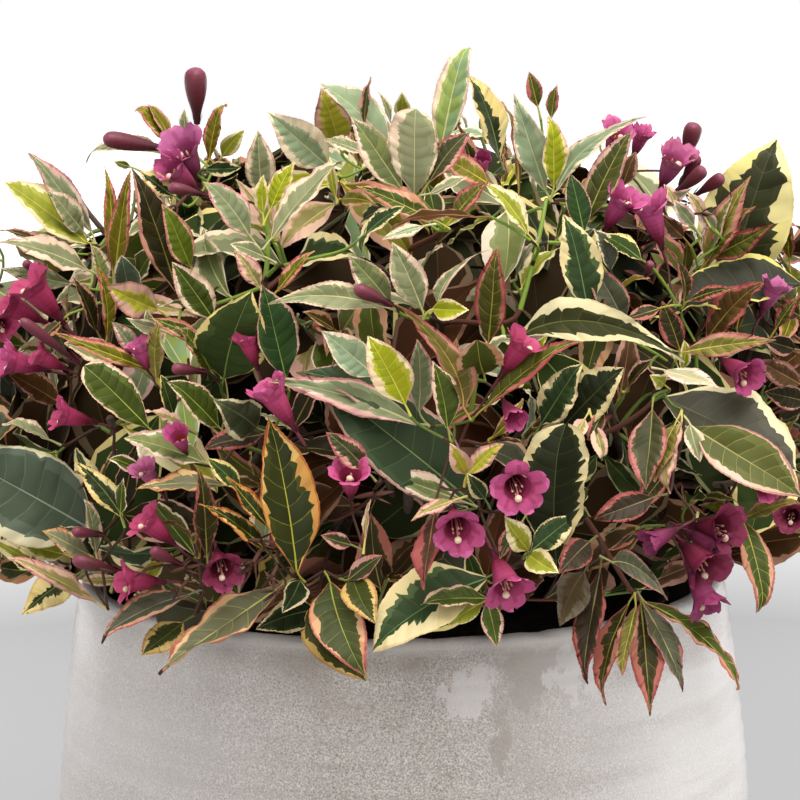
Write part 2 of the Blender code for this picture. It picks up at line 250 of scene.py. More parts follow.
TINTS = {
    # names say what the eye sees first
    "greycream": Tints("b2c08e", None, "7c8d6b 6c7e5b", "909f78 98a682", "ead8a6 e6cca0", "e0bc98 d8a88c", 0.76, 0.09),
    "palegreen": Tints("bccf9c", None, "789c70 7f9f58", "92b08a 9cb56c", "ede5b0 e8d8a2", "e6b89e eadcae", 0.76, 0.08),
    "mintcream": Tints("b4c99c", None, "78967a 82a07f", "93ab8b 9db394", "eee4b0 e9d8a4", "ead0a8 e6c4a0", 0.70, 0.10),
    "lime": Tints("bccb62", "a9bb45", "8b9f1f 7f9420", "9bad38 a8b648", "eee09e e8d294", "e6b490 ead298", 0.70, 0.10),
    "limegreen": Tints("b7c662", None, "84983a 7a8c36", "97a84a a0ae58", "ebe09c e6d694", "e6c890 ead89e", 0.68, 0.10),
    "olive": Tints("aab048", "949a3e", "666b1f 5b611c", "72762a 7c8033", "e18e72 dd9c7c", "d0645e c95a5a", 0.72, 0.08),
    "forest": Tints("8aa552", None, "38491a 3f5220", "4f6330 586d38", "ecd3a6 e8c79c", "e3b391 e0a98c", 0.82, 0.06),
    "darkcream": Tints("5f8454", None, "2a4029 263a22", "415a3e 506a45", "e6d894 dccb84", "e3d08c d8c07e", 0.68, 0.13),
    "creamdark": Tints("66705a", "4a5548", "2b352d 333d31", "39433a 424c3c", "ecdf8c e9d67c", "ecdc90 e6cf7a", 0.60, 0.17),
    "blackcream": Tints("6c8450", None, "2a3a26 232f20", "43513c 525e46", "e6d684 dfc970", "dfc474 d8b96a", 0.62, 0.15),
    "blackgreen": Tints("6e9053", None, "2e4127 364a2e", "425837 4a603e", "f9e988 eada7e", "ead17a e0c772", 0.84, 0.08, 0.78, 0.08),
    "orange": Tints("9caa44", "5c6a2c", "28321a 2e381a", "3c4620 444e26", "e09a48 e8b862", "c4602e cc7236", 0.66, 0.12),
    "greyorange": Tints("a9bf68", None, "5f6a52 68725a", "77805f 828a68", "e2a26a e6bd74", "c6704a cf8458", 0.70, 0.10),
    "redolive": Tints("99a24a", "7f853e", "4a5424 434a22", "585f2c 605f30", "bf5e58 ca7264", "9e3a44 a8444a", 0.70, 0.10),
    "pinkdark": Tints("7f8e54", None, "353c2b 3f4534", "4d523d 585c46", "d27a74 da9683", "b8585e be6464", 0.68, 0.12),
    "pinkgrey": Tints("a4b883", None, "6c8060 74886a", "88a078 92a884", "e8b3a8 ebc9b0", "d88a86 d3807f", 0.68, 0.11),
    "greydark": Tints("3c4c3e", None, "465048 4e574e", "5f675a 6b7162", "ece39e e8dc90", "ece3a4 e6d898", 0.72, 0.12, 0.42, 0.40),
    "salmon": Tints("b7bd78", None, "8a8f5c 7f8656", "a3a06a b0a674", "ecb09a eac09a", "dc8c7e d7827a", 0.50, 0.14),
    "under": Tints("c6cfac", None, "a9b592 9fac88", "b9c0a0 c2c8aa", "ece2bc e9d8b2", "e6c4a4 e3b89e", 0.72, 0.10),
    # shade: near-black, for leaves deep inside the crown; its darkness is painted shade
    "shade": Tints("405633", None, "202c1b 253220", "2e3b24 334029", "95915b 818153", "857f53 79744e", 0.80, 0.10, 0.78, 0.08),
    "brownblack": Tints("6f7434", "474a22", "242510 1e1f0e", "2c2d16 30311a", "d58c7a dda288", "c4766a cc8270", 0.85, 0.06),
    "coraldark": Tints("8a9448", "5a6032", "30311a 2a2a17", "3c3d24 42412a", "c4685a cc7c66", "a84a46 b25450", 0.64, 0.10),
    # tan: a tan leaf's own colour, darkened as painted shade for the leaf that hangs low under the crown
    "tan": Tints("595638", None, "423b2c 48412f", "4d4634 524937", "5d533b 63593f", "685e43 61563b", 0.60, 0.12),
    "night": Tints("4e6645", None, "1e2c1c 1a261a", "283626 2d3f2a", "c2b181 ae9f72", "d5ba84 c0a875", 0.84, 0.06, 0.78, 0.08),
    "goldedge": Tints("5f7038", None, "37421f 313c1d", "424c29 48522d", "d6b05a dabb6c", "cc954e c58c4e", 0.72, 0.10),
    "mossorange": Tints("9cab54", "7c8e42", "40501d 3a4a1d", "4a5928 526130", "d98f6a dfa27a", "c2665a c6725e", 0.80, 0.07),
    "darkgrey": Tints("74895c", None, "3c4839 36422f", "47533f 4b5845", "d9ce96 cec288", "cfc288 c7b67e", 0.88, 0.05, 0.42, 0.38),
    "darkorange": Tints("8ba04a", "58682f", "374426 3e4a2b", "475138 4d5738", "d88e60 dfa574", "c25f56 c66c5a", 0.76, 0.08),
    "greyolive": Tints("a0b466", "7d8c58", "5a634c 636b50", "6a7158 71775c", "daa06e deb078", "b65e4a bc6c54", 0.82, 0.06),
    "forestsalmon": Tints("86a23c", "567a24", "52681e 566c24", "5c7428 627830", "df9c7e e6ac88", "d98672 cf7a6a", 0.74, 0.06),
    "darkgrey2": Tints("7f8c74", None, "4a5348 434c3e", "565e50 5b6354", "d89c76 dca884", "b65a58 be6a60", 0.80, 0.06),
    "nightcream": Tints("48583a", "2e3a26", "1c2716 182213", "263220 2c3824", "dacd8c cdbd7c", "d2c080 c4b070", 0.68, 0.12),
    "olivevein": Tints("a9b266", "97a25a", "6a6f34 62682f", "777c3c 7f8442", "cf8470 d4957c", "c06a60 c8766a", 0.84, 0.06),
    "pinkslate": Tints("8f9c6c", "6c775c", "4c5548 454e42", "5a6252 616856", "c87c74 cf8c7e", "b25c60 ba6868", 0.80, 0.07),
    "coralslate": Tints("6f7450", None, "2f2b26 292521", "3b342e 423b33", "b85850 c06a5c", "983c46 a24a4c", 0.78, 0.08),
    "slate": Tints("535b50", "4a5148", "3e433e 383c38", "484c46 4d514a", "e8e0a0 e2d690", "e4d898 dccb86", 0.88, 0.06, 0.55, 0.25),
    "darkgreen": Tints("6a8c4c", "3c5a32", "1f3a20 24401f", "2a4527 304b2b", "cf9f86 d8b090", "cc927c c68872", 0.93, 0.03),
    "creamblack": Tints("525c44", "464f3a", "323a2c 2b3326", "3c4434 444c3a", "f0e690 e8dc7c", "ece088 e2d270", 0.68, 0.14),
    "rust": Tints("857446", None, "4a3b2a 423326", "57462f 5e4d36", "b67c66 be8a74", "98564e a26056", 0.72, 0.11),
    "umber": Tints("796741", None, "413222 392d1f", "4d3c25 55442d", "a7745c b58265", "8f534e 9a5a53", 0.78, 0.09, 0.78, 0.08),
    # dusk and rustdark: near-black browns for leaves deep inside the crown, painted shade
    "dusk": Tints("433b25", None, "242015 2b2318", "2e271b 342c1f", "765f43 69563b", "6e5146 64483b", 0.84, 0.08, 0.78, 0.08),
    "rustdark": Tints("52412a", None, "35261b 3d2b1e", "423023 4a3727", "8f644f 7e5745", "7c4d45 71453d", 0.80, 0.08, 0.78, 0.08),
    "mossveined": Tints("8d9461", "747e48", "4d592c 475227", "596436 606b3c", "d9b08c e0bc98", "c68474 c07a6c", 0.82, 0.06),
    "sage": Tints("a4b27c", None, "6a7d4c 60734a", "7c8e5e 869868", "e6d8ae e0cc9e", "dba894 d29a86", 0.78, 0.08),
    "limepink": Tints("b4bc5c", None, "96a43e 8a9838", "a4b04c aeb85a", "e0a68c e6b498", "cf8a78 c87e70", 0.60, 0.10),
    "redpink": Tints("8f6a50", None, "4a3a34 3d302c", "564440 5e4a44", "b4545a a8484c", "98404a a04850", 0.42, 0.12),
    "darkolive": Tints("8f9a55", "68723c", "3c451f 343d1a", "4a5428 505a2e", "c99484 d1a58f", "b97c74 b4746c", 0.80, 0.07),
    "archcream": Tints("56643a", "414c2a", "2b3419 262e15", "343d20 3a4424", "dcd298 d4c98c", "d8ce90 d0c484", 0.56, 0.10),
    "creamnight": Tints("3c4634", "333c2c", "22281d 1d2218", "2b3124 30372a", "d8cc6c d0c45e", "d4c868 ccbc58", 0.70, 0.12),
    "russet": Tints("9a9450", "7a7638", "5b5b30 535328", "68663a 706e42", "c87464 cc8070", "b05650 b86058", 0.72, 0.08),
    "deepgreen": Tints("6d8c58", "445e42", "34483a 2f4234", "3e5344 3a4d3e", "c99c86 d0aa90", "bd8a78 b88070", 0.93, 0.03),
    "bluegrey": Tints("8aa08e", "5c7264", "4d6253 475a4e", "586c5c 5e7260", "e2dcae d8d09c", "d8cf9c cec48c", 0.90, 0.05, 0.48, 0.32),
    "brownolive": Tints("8a8c48", "6a5c34", "42361c 3c301a", "4c3e22 504224", "bf5e58 b0524e", "9a3a44 a04448", 0.70, 0.10),
    "bronze": Tints("8f8f48", "66682f", "4a4426 423d22", "57512f 5e5834", "c98a66 d29c74", "b4645a ba6e60", 0.74, 0.09),
    "withered": Tints("5a4034", None, "4a3830 3c2f2a", "5e4a3e 6b5444", "8a6c50 77604a", "5f4a3c 54423a", 0.6, 0.15, 0.8, 0.15),
}

STEM_YOUNG = finish("7f9a38", 0.5, 0.3, "shoot")
STEM_GREEN = finish("667a34", 0.5, 0.3, "shoot")
STEM_RED = finish("5f3629", 0.55, 0.3, "shoot")
STEM_DARK = finish("4b3226", 0.6, 0.25, "shoot")
STEM_BROWN = finish("3d2b21", 0.7, 0.2, "shoot")
STEM_GREY = finish("40352c", 0.8, 0.2, "shoot")


DRY_TIP = finish("4a2226", 0.6, 0.25, "leaf")


# ------------------------------------------------------------------ the leaf
def outline(points):
    """A leaf's half width along its length, softened."""
    s, f = np.array(points[0::2]), np.array(points[1::2])
    fine = np.linspace(0.0, 1.0, 501)
    y = np.interp(fine, s, f)
    kernel = np.hanning(31)
    kernel /= kernel.sum()
    padded = np.concatenate([np.full(15, y[0]), y, np.full(15, y[-1])])
    y = np.convolve(padded, kernel, "valid")
    return y / y.max()


FORMS = {
    "ovate": outline([0, 0.06, 0.05, 0.17, 0.11, 0.37, 0.20, 0.68, 0.31, 0.91, 0.42, 1.0, 0.54, 0.98, 0.66, 0.84, 0.77, 0.61, 0.86, 0.38, 0.93, 0.19, 0.975, 0.07, 1, 0.012]),
    "oval": outline([0, 0.06, 0.04, 0.16, 0.10, 0.36, 0.18, 0.63, 0.29, 0.88, 0.41, 1.0, 0.54, 0.99, 0.67, 0.87, 0.78, 0.66, 0.87, 0.42, 0.94, 0.19, 0.98, 0.07, 1, 0.01]),
    "lance": outline([0, 0.09, 0.05, 0.19, 0.12, 0.38, 0.22, 0.68, 0.33, 0.92, 0.43, 1.0, 0.55, 0.92, 0.67, 0.70, 0.79, 0.43, 0.89, 0.20, 0.96, 0.08, 1, 0.01]),
    "strap": outline([0, 0.12, 0.06, 0.30, 0.16, 0.56, 0.30, 0.86, 0.45, 1.0, 0.60, 0.94, 0.73, 0.73, 0.85, 0.44, 0.94, 0.19, 0.98, 0.08, 1, 0.01]),
    "blunt": outline([0, 0.06, 0.04, 0.16, 0.10, 0.32, 0.20, 0.58, 0.34, 0.86, 0.50, 1.0, 0.66, 1.0, 0.80, 0.93, 0.90, 0.76, 0.96, 0.50, 0.99, 0.22, 1, 0.03]),
}
FINE = np.linspace(0.0, 1.0, 501)


class Grain:
    """How finely a leaf is meshed: rows that follow its veins, and columns."""

    def __init__(self, veins, strips, per, columns):
        self.veins = veins
        step = 1.0 / (veins + 0.5)
        rows, phase, strip = [0.0], [0.0], []
        for k in range(veins):
            at = (k + 0.55) * step
            if strips:
                rows += [at - 0.0026, at + 0.0026]
                phase += [0.0, 0.0]
                strip.append(len(rows) - 2)
            else:
                rows.append(at)
                phase.append(0.0)
            for j in range(1, per):
                rows.append(at + step * j / per)
                phase.append(math.sin(math.pi * j / per))
        rows = [r for r in rows if r < 0.985] + [1.0]
        phase = phase[: len(rows) - 1] + [0.0]
        self.s = np.array(rows)
        self.phase = np.array(phase)
        self.R = len(rows) - 1
        self.columns = columns
        self.C = 2 * columns
        self.strip = np.zeros(self.R, bool)
        for k in strip:
            if k < self.R:
                self.strip[k] = True
        # which stretch between two veins each row of points belongs to
        self.band = np.clip(np.floor(self.s / step - 0.55 + 1.0), 0, veins).astype(int)
        i, j = np.meshgrid(np.arange(self.R), np.arange(self.C), indexing="ij")
        a = (i * (self.C + 1) + j).ravel()
        self.quads = np.stack([a, a + self.C + 1, a + self.C + 2, a + 1], 1)


GRAINS = [Grain(8, True, 4, 6), Grain(7, False, 3, 4), Grain(4, False, 2, 3)]


def leaf(length, width, tints, r, grain=1, form="ovate", fold=0.35, bend=0.5, tip=0.4,
         twist=0.0, wave=1.0, side=0.0, green=None, arch_in=0.0, dry=0.0, uneven=None):
    """A leaf lying along +X with its upper face to +Z. Returns points and finishes."""
    g = GRAINS[grain]
    s = g.s
    half = width / 2
    ahead = 0.17 * np.sin(math.pi * s) ** 0.8 * (1.0 - 0.35 * s)
    e = np.clip(s + ahead, 0.0, 1.0)
    shape = FORMS[form]
    lop = 1.0 + r.normal(0, 0.05)
    rows = []
    rib = np.maximum(0.00044 * (length / 0.06) ** 0.5 * (1.0 - 0.95 * s) ** 1.15, 0.00010)
    base_green = tints.green if green is None else green
    mean = np.clip(base_green + r.normal(0, 0.05), 0.25, 0.92)
    lean = r.normal(0, 0.07)
    if uneven is not None:
        lean = uneven
    verts = np.zeros((g.R + 1, g.C + 1, 3))
    mats = np.zeros((g.R, g.C), np.int32)
    n_cols = g.columns
    tip_fade = 1.0 - 0.35 * smooth(0.78, 1.0, s)
    for h, sign in ((0, -1.0), (1, 1.0)):
        w = np.interp(e, FINE, shape) * half * (lop if h else 2 - lop)
        # small forward-pointing teeth
        teeth = np.zeros_like(w)
        if grain < 2:
            teeth[1:-1:2] = 0.00028 if grain == 0 else 0.00022
        w = np.maximum(w + teeth * smooth(0.05, 0.2, s) * (1 - smooth(0.9, 1.0, s)), 0.00016)
        bands = np.clip(mean + sign * lean + r.normal(0, tints.spread * 0.75, g.veins + 1), 0.18, 0.93)
        # the boundary wanders slowly, steps a little at the veins and frays
        knots = r.normal(0, tints.spread * 0.75, 7)
        wander = np.interp(s, np.linspace(0, 1, 7), knots)
        gb = mean + sign * lean + wander + 0.55 * (bands[g.band] - mean - sign * lean) + r.normal(0, tints.spread * 0.5, len(s))
        gb = np.clip(gb * tip_fade, 0.14, 0.94)
        m = np.clip(rib / w, 0.012, 0.45)
        hr = np.clip(tints.share + r.normal(0, 0.10, g.veins + 1), 0.35, 0.95)[g.band]
        hb = m + (gb - m) * hr
        rim = 1.0 - np.clip(0.00075 / w, 0.05, 0.25)
        if n_cols == 6:
            cols = [np.zeros_like(s), m, (m + hb) / 2, hb, gb, np.maximum(rim, gb + 0.02), np.ones_like(s)]
        elif n_cols == 4:
            cols = [np.zeros_like(s), m, hb, gb, np.ones_like(s)]
        else:
            cols = [np.zeros_like(s), m, gb, np.ones_like(s)]
        for c in range(1, len(cols)):
            cols[c] = np.maximum(cols[c], cols[c - 1] + 0.004)
        top = cols[-1]
        cols = [c / top for c in cols]
        swell = 0.00062 * (length / 0.06) ** 0.7 * np.clip(r.normal(1.0, 0.45, g.veins + 1), 0.2, 1.8)[g.band]
        cockle = 0.0011 * (length / 0.06)
        k3, k4, k5 = r.uniform(1.2, 2.6), r.uniform(0, math.tau), r.uniform(0.6, 1.6)
        ripple = wave * 0.0015 * (length / 0.06)
        k1, k2 = r.uniform(1.6, 3.2), r.uniform(0, math.tau)
        for c, t in enumerate(cols):
            u = s + (e - s) * t**1.3
            y = w * t
            z = swell * g.phase * np.sin(math.pi * np.clip(t, 0, 1)) ** 0.8
            z = z + cockle * np.sin(math.tau * (k3 * u + 0.35 * k5 * t) + k4) * math.sin(math.pi * min(float(np.mean(t)), 1.0)) * smooth(0.05, 0.3, s) * (1 - s)
            z = z - 0.00035 * np.exp(-((y / 0.0012) ** 2)) * (1 - s)
            z = z + ripple * t**2 * np.sin(math.tau * k1 * u + k2) * smooth(0.0, 0.25, s)
            z = z + 0.42 * ripple * t**3 * np.sin(math.tau * (2.6 * k1) * u + 3 * k2) * smooth(0.0, 0.25, s)
            z = z + fold * (np.sqrt(y * y + 0.0015**2) - 0.0015)
            j = n_cols + c if h else n_cols - c
            verts[:, j, 0] = u
            verts[:, j, 1] = sign * y
            verts[:, j, 2] = z
        # finishes, from the rib outwards
        tone_k, tone_p, tone_at = r.uniform(0.5, 1.5), r.random(), r.uniform(-0.7, 0.7)
        pick = (r.random((g.veins + 1, 4)) < 0.09) ^ (r.random(4) < 0.5)
        b = g.band[:-1]
        zones = {6: ["rib", "deep", "deep", "mid", "edge", "rim"], 4: ["rib", "deep", "mid", "edge"], 3: ["rib", "deep", "edge"]}[n_cols]
        for c, zone in enumerate(zones):
            j = n_cols + c if h else n_cols - 1 - c
            if zone == "rib":
                mats[:, j] = tints.rib
                continue
            two = getattr(tints, zone)
            col = {"deep": 0, "mid": 1, "edge": 2, "rim": 3}[zone]
            chosen = pick[b, col]
            if zone in ("edge", "rim"):
                # the margin changes tone in long runs
                run = np.sin(math.tau * (tone_k * s[:-1] + tone_p + 0.31 * col)) + r.normal(0, 0.18, g.R)
                chosen = run > tone_at
            mats[:, j] = np.where(chosen, two[0], two[1])
            if tints.vein is not None and zone in ("deep", "mid") and g.strip.any():
                mats[g.strip, j] = tints.vein
        if dry:
            last = s[:-1] > 1.0 - dry
            mats[last, n_cols:] = np.where(mats[last, n_cols:] == tints.rib, tints.rib, DRY_TIP)
            mats[last, :n_cols] = DRY_TIP
    # bend the blade along its length
    u = verts[:, :, 0]
    fine = FINE
    angle = arch_in - bend * fine - tip * smooth(0.70, 1.0, fine) * 1.6
    step = length / (len(fine) - 1)
    px = np.concatenate([[0], np.cumsum(np.cos(angle[:-1]) * step)])
    pz = np.concatenate([[0], np.cumsum(np.sin(angle[:-1]) * step)])
    a = np.interp(u, fine, angle)
    tw = twist * u
    y, z = verts[:, :, 1], verts[:, :, 2]
    y, z = y * np.cos(tw) - z * np.sin(tw), y * np.sin(tw) + z * np.cos(tw)
    X = np.interp(u, fine, px) - z * np.sin(a)
    Z = np.interp(u, fine, pz) + z * np.cos(a)
    Y = y + side * length * u * u
    out = np.stack([X, Y, Z], -1).reshape(-1, 3)
    reach = np.array([px[-1], side * length, pz[-1]])
    return out, mats.ravel(), reach


def leaf_basis(direction, normal):
    x = unit(direction)
    z = np.asarray(normal, float)
    z = unit(z - x * (z @ x))
    return np.stack([x, np.cross(z, x), z], 1)


LEAVES = {}
LEAF_COUNT = [0, 0, 0]


def pile_for(group):
    if group not in LEAVES:
        LEAVES[group] = Pile("leaves_" + group)
    return LEAVES[group]


def set_leaf(group, base, direction, normal, length, width, kind, r, grain=1, **shape):
    """A leaf that grows from base in a direction."""
    points, mats, _ = leaf(length, width, TINTS[kind], r, grain, **shape)
    m = leaf_basis(direction, normal)
    pile_for(group).add(points @ m.T + base, GRAINS[grain].quads, mats)
    LEAF_COUNT[grain] += 1


def fit_leaf(group, base, end, normal, width, kind, r, grain=0, **shape):
    """A leaf whose two ends are given: it is scaled so that its bent blade spans them."""
    span = np.asarray(end) - base
    d = np.linalg.norm(span)
    length = d
    for _ in range(2):
        state = r.bit_generator.state
        points, mats, reach = leaf(length, width, TINTS[kind], r, grain, **shape)
        if _ == 0:
            r.bit_generator.state = state
            length *= d / max(np.linalg.norm(reach), 1e-6)
    # local frame whose x is the chord
    cx = unit(reach)
    cz = np.array([0.0, 0.0, 1.0])
    cz = unit(cz - cx * (cz @ cx))
    local = np.stack([cx, np.cross(cz, cx), cz], 1)
    m = leaf_basis(span, normal) @ local.T
    pile_for(group).add(points @ m.T + base, GRAINS[grain].quads, mats)
    LEAF_COUNT[grain] += 1
    return length


# -------------------------------------------------------------- round limbs
def tube(pile, path, radii, mat, sides=6, cap=True, knobs=None):
    """A round limb along a path, with parallel-carried sections."""
    path = np.asarray(path, float)
    n = len(path)
    radii = np.broadcast_to(np.asarray(radii, float), (n,))
    tangent = np.gradient(path, axis=0)
    tangent /= np.linalg.norm(tangent, axis=1)[:, None] + 1e-12
    ref = np.array([0.0, 0.0, 1.0]) if abs(tangent[0][2]) < 0.9 else np.array([1.0, 0.0, 0.0])
    a = unit(np.cross(tangent[0], ref))
    rings = []
    phi = np.arange(sides) * math.tau / sides
    for k in range(n):
        a = unit(a - tangent[k] * (a @ tangent[k]))
        b = np.cross(tangent[k], a)
        rings.append(path[k] + radii[k] * (np.cos(phi)[:, None] * a + np.sin(phi)[:, None] * b))
    verts = np.concatenate(rings)
    i, j = np.meshgrid(np.arange(n - 1), np.arange(sides), indexing="ij")
    i, j = i.ravel(), j.ravel()
    k = (j + 1) % sides
    quads = np.stack([i * sides + j, i * sides + k, (i + 1) * sides + k, (i + 1) * sides + j], 1)
    mats = np.repeat(mat, sides) if np.ndim(mat) else mat
    pile.add(verts, quads, mats)
    if cap:
        end = path[-1] + tangent[-1] * radii[-1] * 0.6
        last = rings[-1]
        tri = np.stack([np.arange(sides), (np.arange(sides) + 1) % sides, np.full(sides, sides)], 1)
        pile.add(np.vstack([last, end]), tri, mat[-1] if np.ndim(mat) else mat)


def bezier(a, b, c, d, n):
    t = np.linspace(0, 1, n)[:, None]
    s = 1 - t
    return np.asarray(a) * s**3 + np.asarray(b) * 3 * s * s * t + np.asarray(c) * 3 * s * t * t + np.asarray(d) * t**3


# ----------------------------------------------------------- flowers and buds
LOBE = {
    # a lobe's rim, the lobe, its foot, the bell and the tube
    "m": ("ca6a9a", "bb5686", "ac4676", "8e2e54", "6c1a34"),
    "v": ("b4628c", "aa5884", "9c4874", "7c3056", "5e1e3a"),
    "c": ("ba4c74", "b04268", "a2345a", "862442", "64162a"),
    "r": ("cc6292", "b94f7e", "a83c64", "8c2a4c", "681a30"),
    # d and k: darker copies of the magenta for flowers low in the crown, painted shade
    "d": ("94406a", "8a375e", "7c2c50", "621f3a", "461428"),
    "k": ("9a4062", "842e4c", "74223c", "5c182c", "42101e"),
    "w": ("c46090", "b24a78", "a03a62", "862946", "641a2e"),
    "p": ("d888ac", "c66e96", "b65c88", "98406c", "722846"),
}
TUBE_DEEP, TUBE_DARK = finish("5c1830", 0.5, 0.3, "petal"), finish("3c1420", 0.5, 0.3, "petal")
THROAT, THROAT_WARM = finish("5e1626", 0.6, 0.2, "petal"), finish("aa5026", 0.6, 0.2, "petal")
STIGMA, FILAMENT = finish("e8ccb0", 0.6, 0.2, "petal"), finish("cf7c88", 0.5, 0.3, "petal")
ANTHER = finish("d8b98a", 0.6, 0.2, "petal")
SEPAL, OVARY = finish("571f2c", 0.55, 0.3, "petal"), finish("69303a", 0.55, 0.3, "petal")
SEPAL_GREEN = finish("6d7434", 0.55, 0.3, "petal")
DRIED, DRIED_DARK = finish("5b3a30", 0.8, 0.15, "petal"), finish("3f2a26", 0.8, 0.15, "petal")

BLOSSOM = {}
TWIGS = {}


def blossom(group):
    if group not in BLOSSOM:
        BLOSSOM[group] = Pile("blossom_" + group)
    return BLOSSOM[group]


def twigs(group):
    if group not in TWIGS:
        TWIGS[group] = Pile("twigs_" + group)
    return TWIGS[group]


def rings_mesh(centres, radii, sides, frame3, ribs=0.0, ribs_n=5, turn=0.0):
    """Rings along local +X; radii may be one per ring. Returns verts and quads."""
    phi = np.arange(sides) * math.tau / sides + turn
    flute = 1.0 + ribs * np.cos(ribs_n * phi)
    c, s = np.cos(phi) * flute, np.sin(phi) * flute
    verts = np.stack(
        [
            np.repeat(np.asarray(centres), sides),
            np.outer(radii, c).ravel(),
            np.outer(radii, s).ravel(),
        ],
        1,
    )
    n = len(centres)
    i, j = np.meshgrid(np.arange(n - 1), np.arange(sides), indexing="ij")
    i, j = i.ravel(), j.ravel()
    k = (j + 1) % sides
    quads = np.stack([i * sides + j, (i + 1) * sides + j, (i + 1) * sides + k, i * sides + k], 1)
    return verts @ frame3.T, quads


def sepals(pile, at, m, r, size, mats, opened=0.35):
    for k in range(5):
        a = math.tau * k / 5 + r.uniform(-0.15, 0.15)
        spread = opened * r.uniform(0.6, 1.4)
        u = np.array([0.0, 0.4, 0.75, 1.0])
        w = np.array([0.55, 0.65, 0.38, 0.04]) * 0.0011 * size
        x = u * 0.0062 * size * math.cos(spread)
        rad = 0.0012 * size + u * 0.0062 * size * math.sin(spread)
        v = []
        for sgn in (-1, 1):
            v.append(np.stack([x, rad * math.cos(a) - sgn * w * math.sin(a), rad * math.sin(a) + sgn * w * math.cos(a)], 1))
        v = np.concatenate(v)
        q = np.array([[i, i + 1, i + 5, i + 4] for i in range(3)])
        pile.add(v @ m.T + at, q, mats[k % 2])


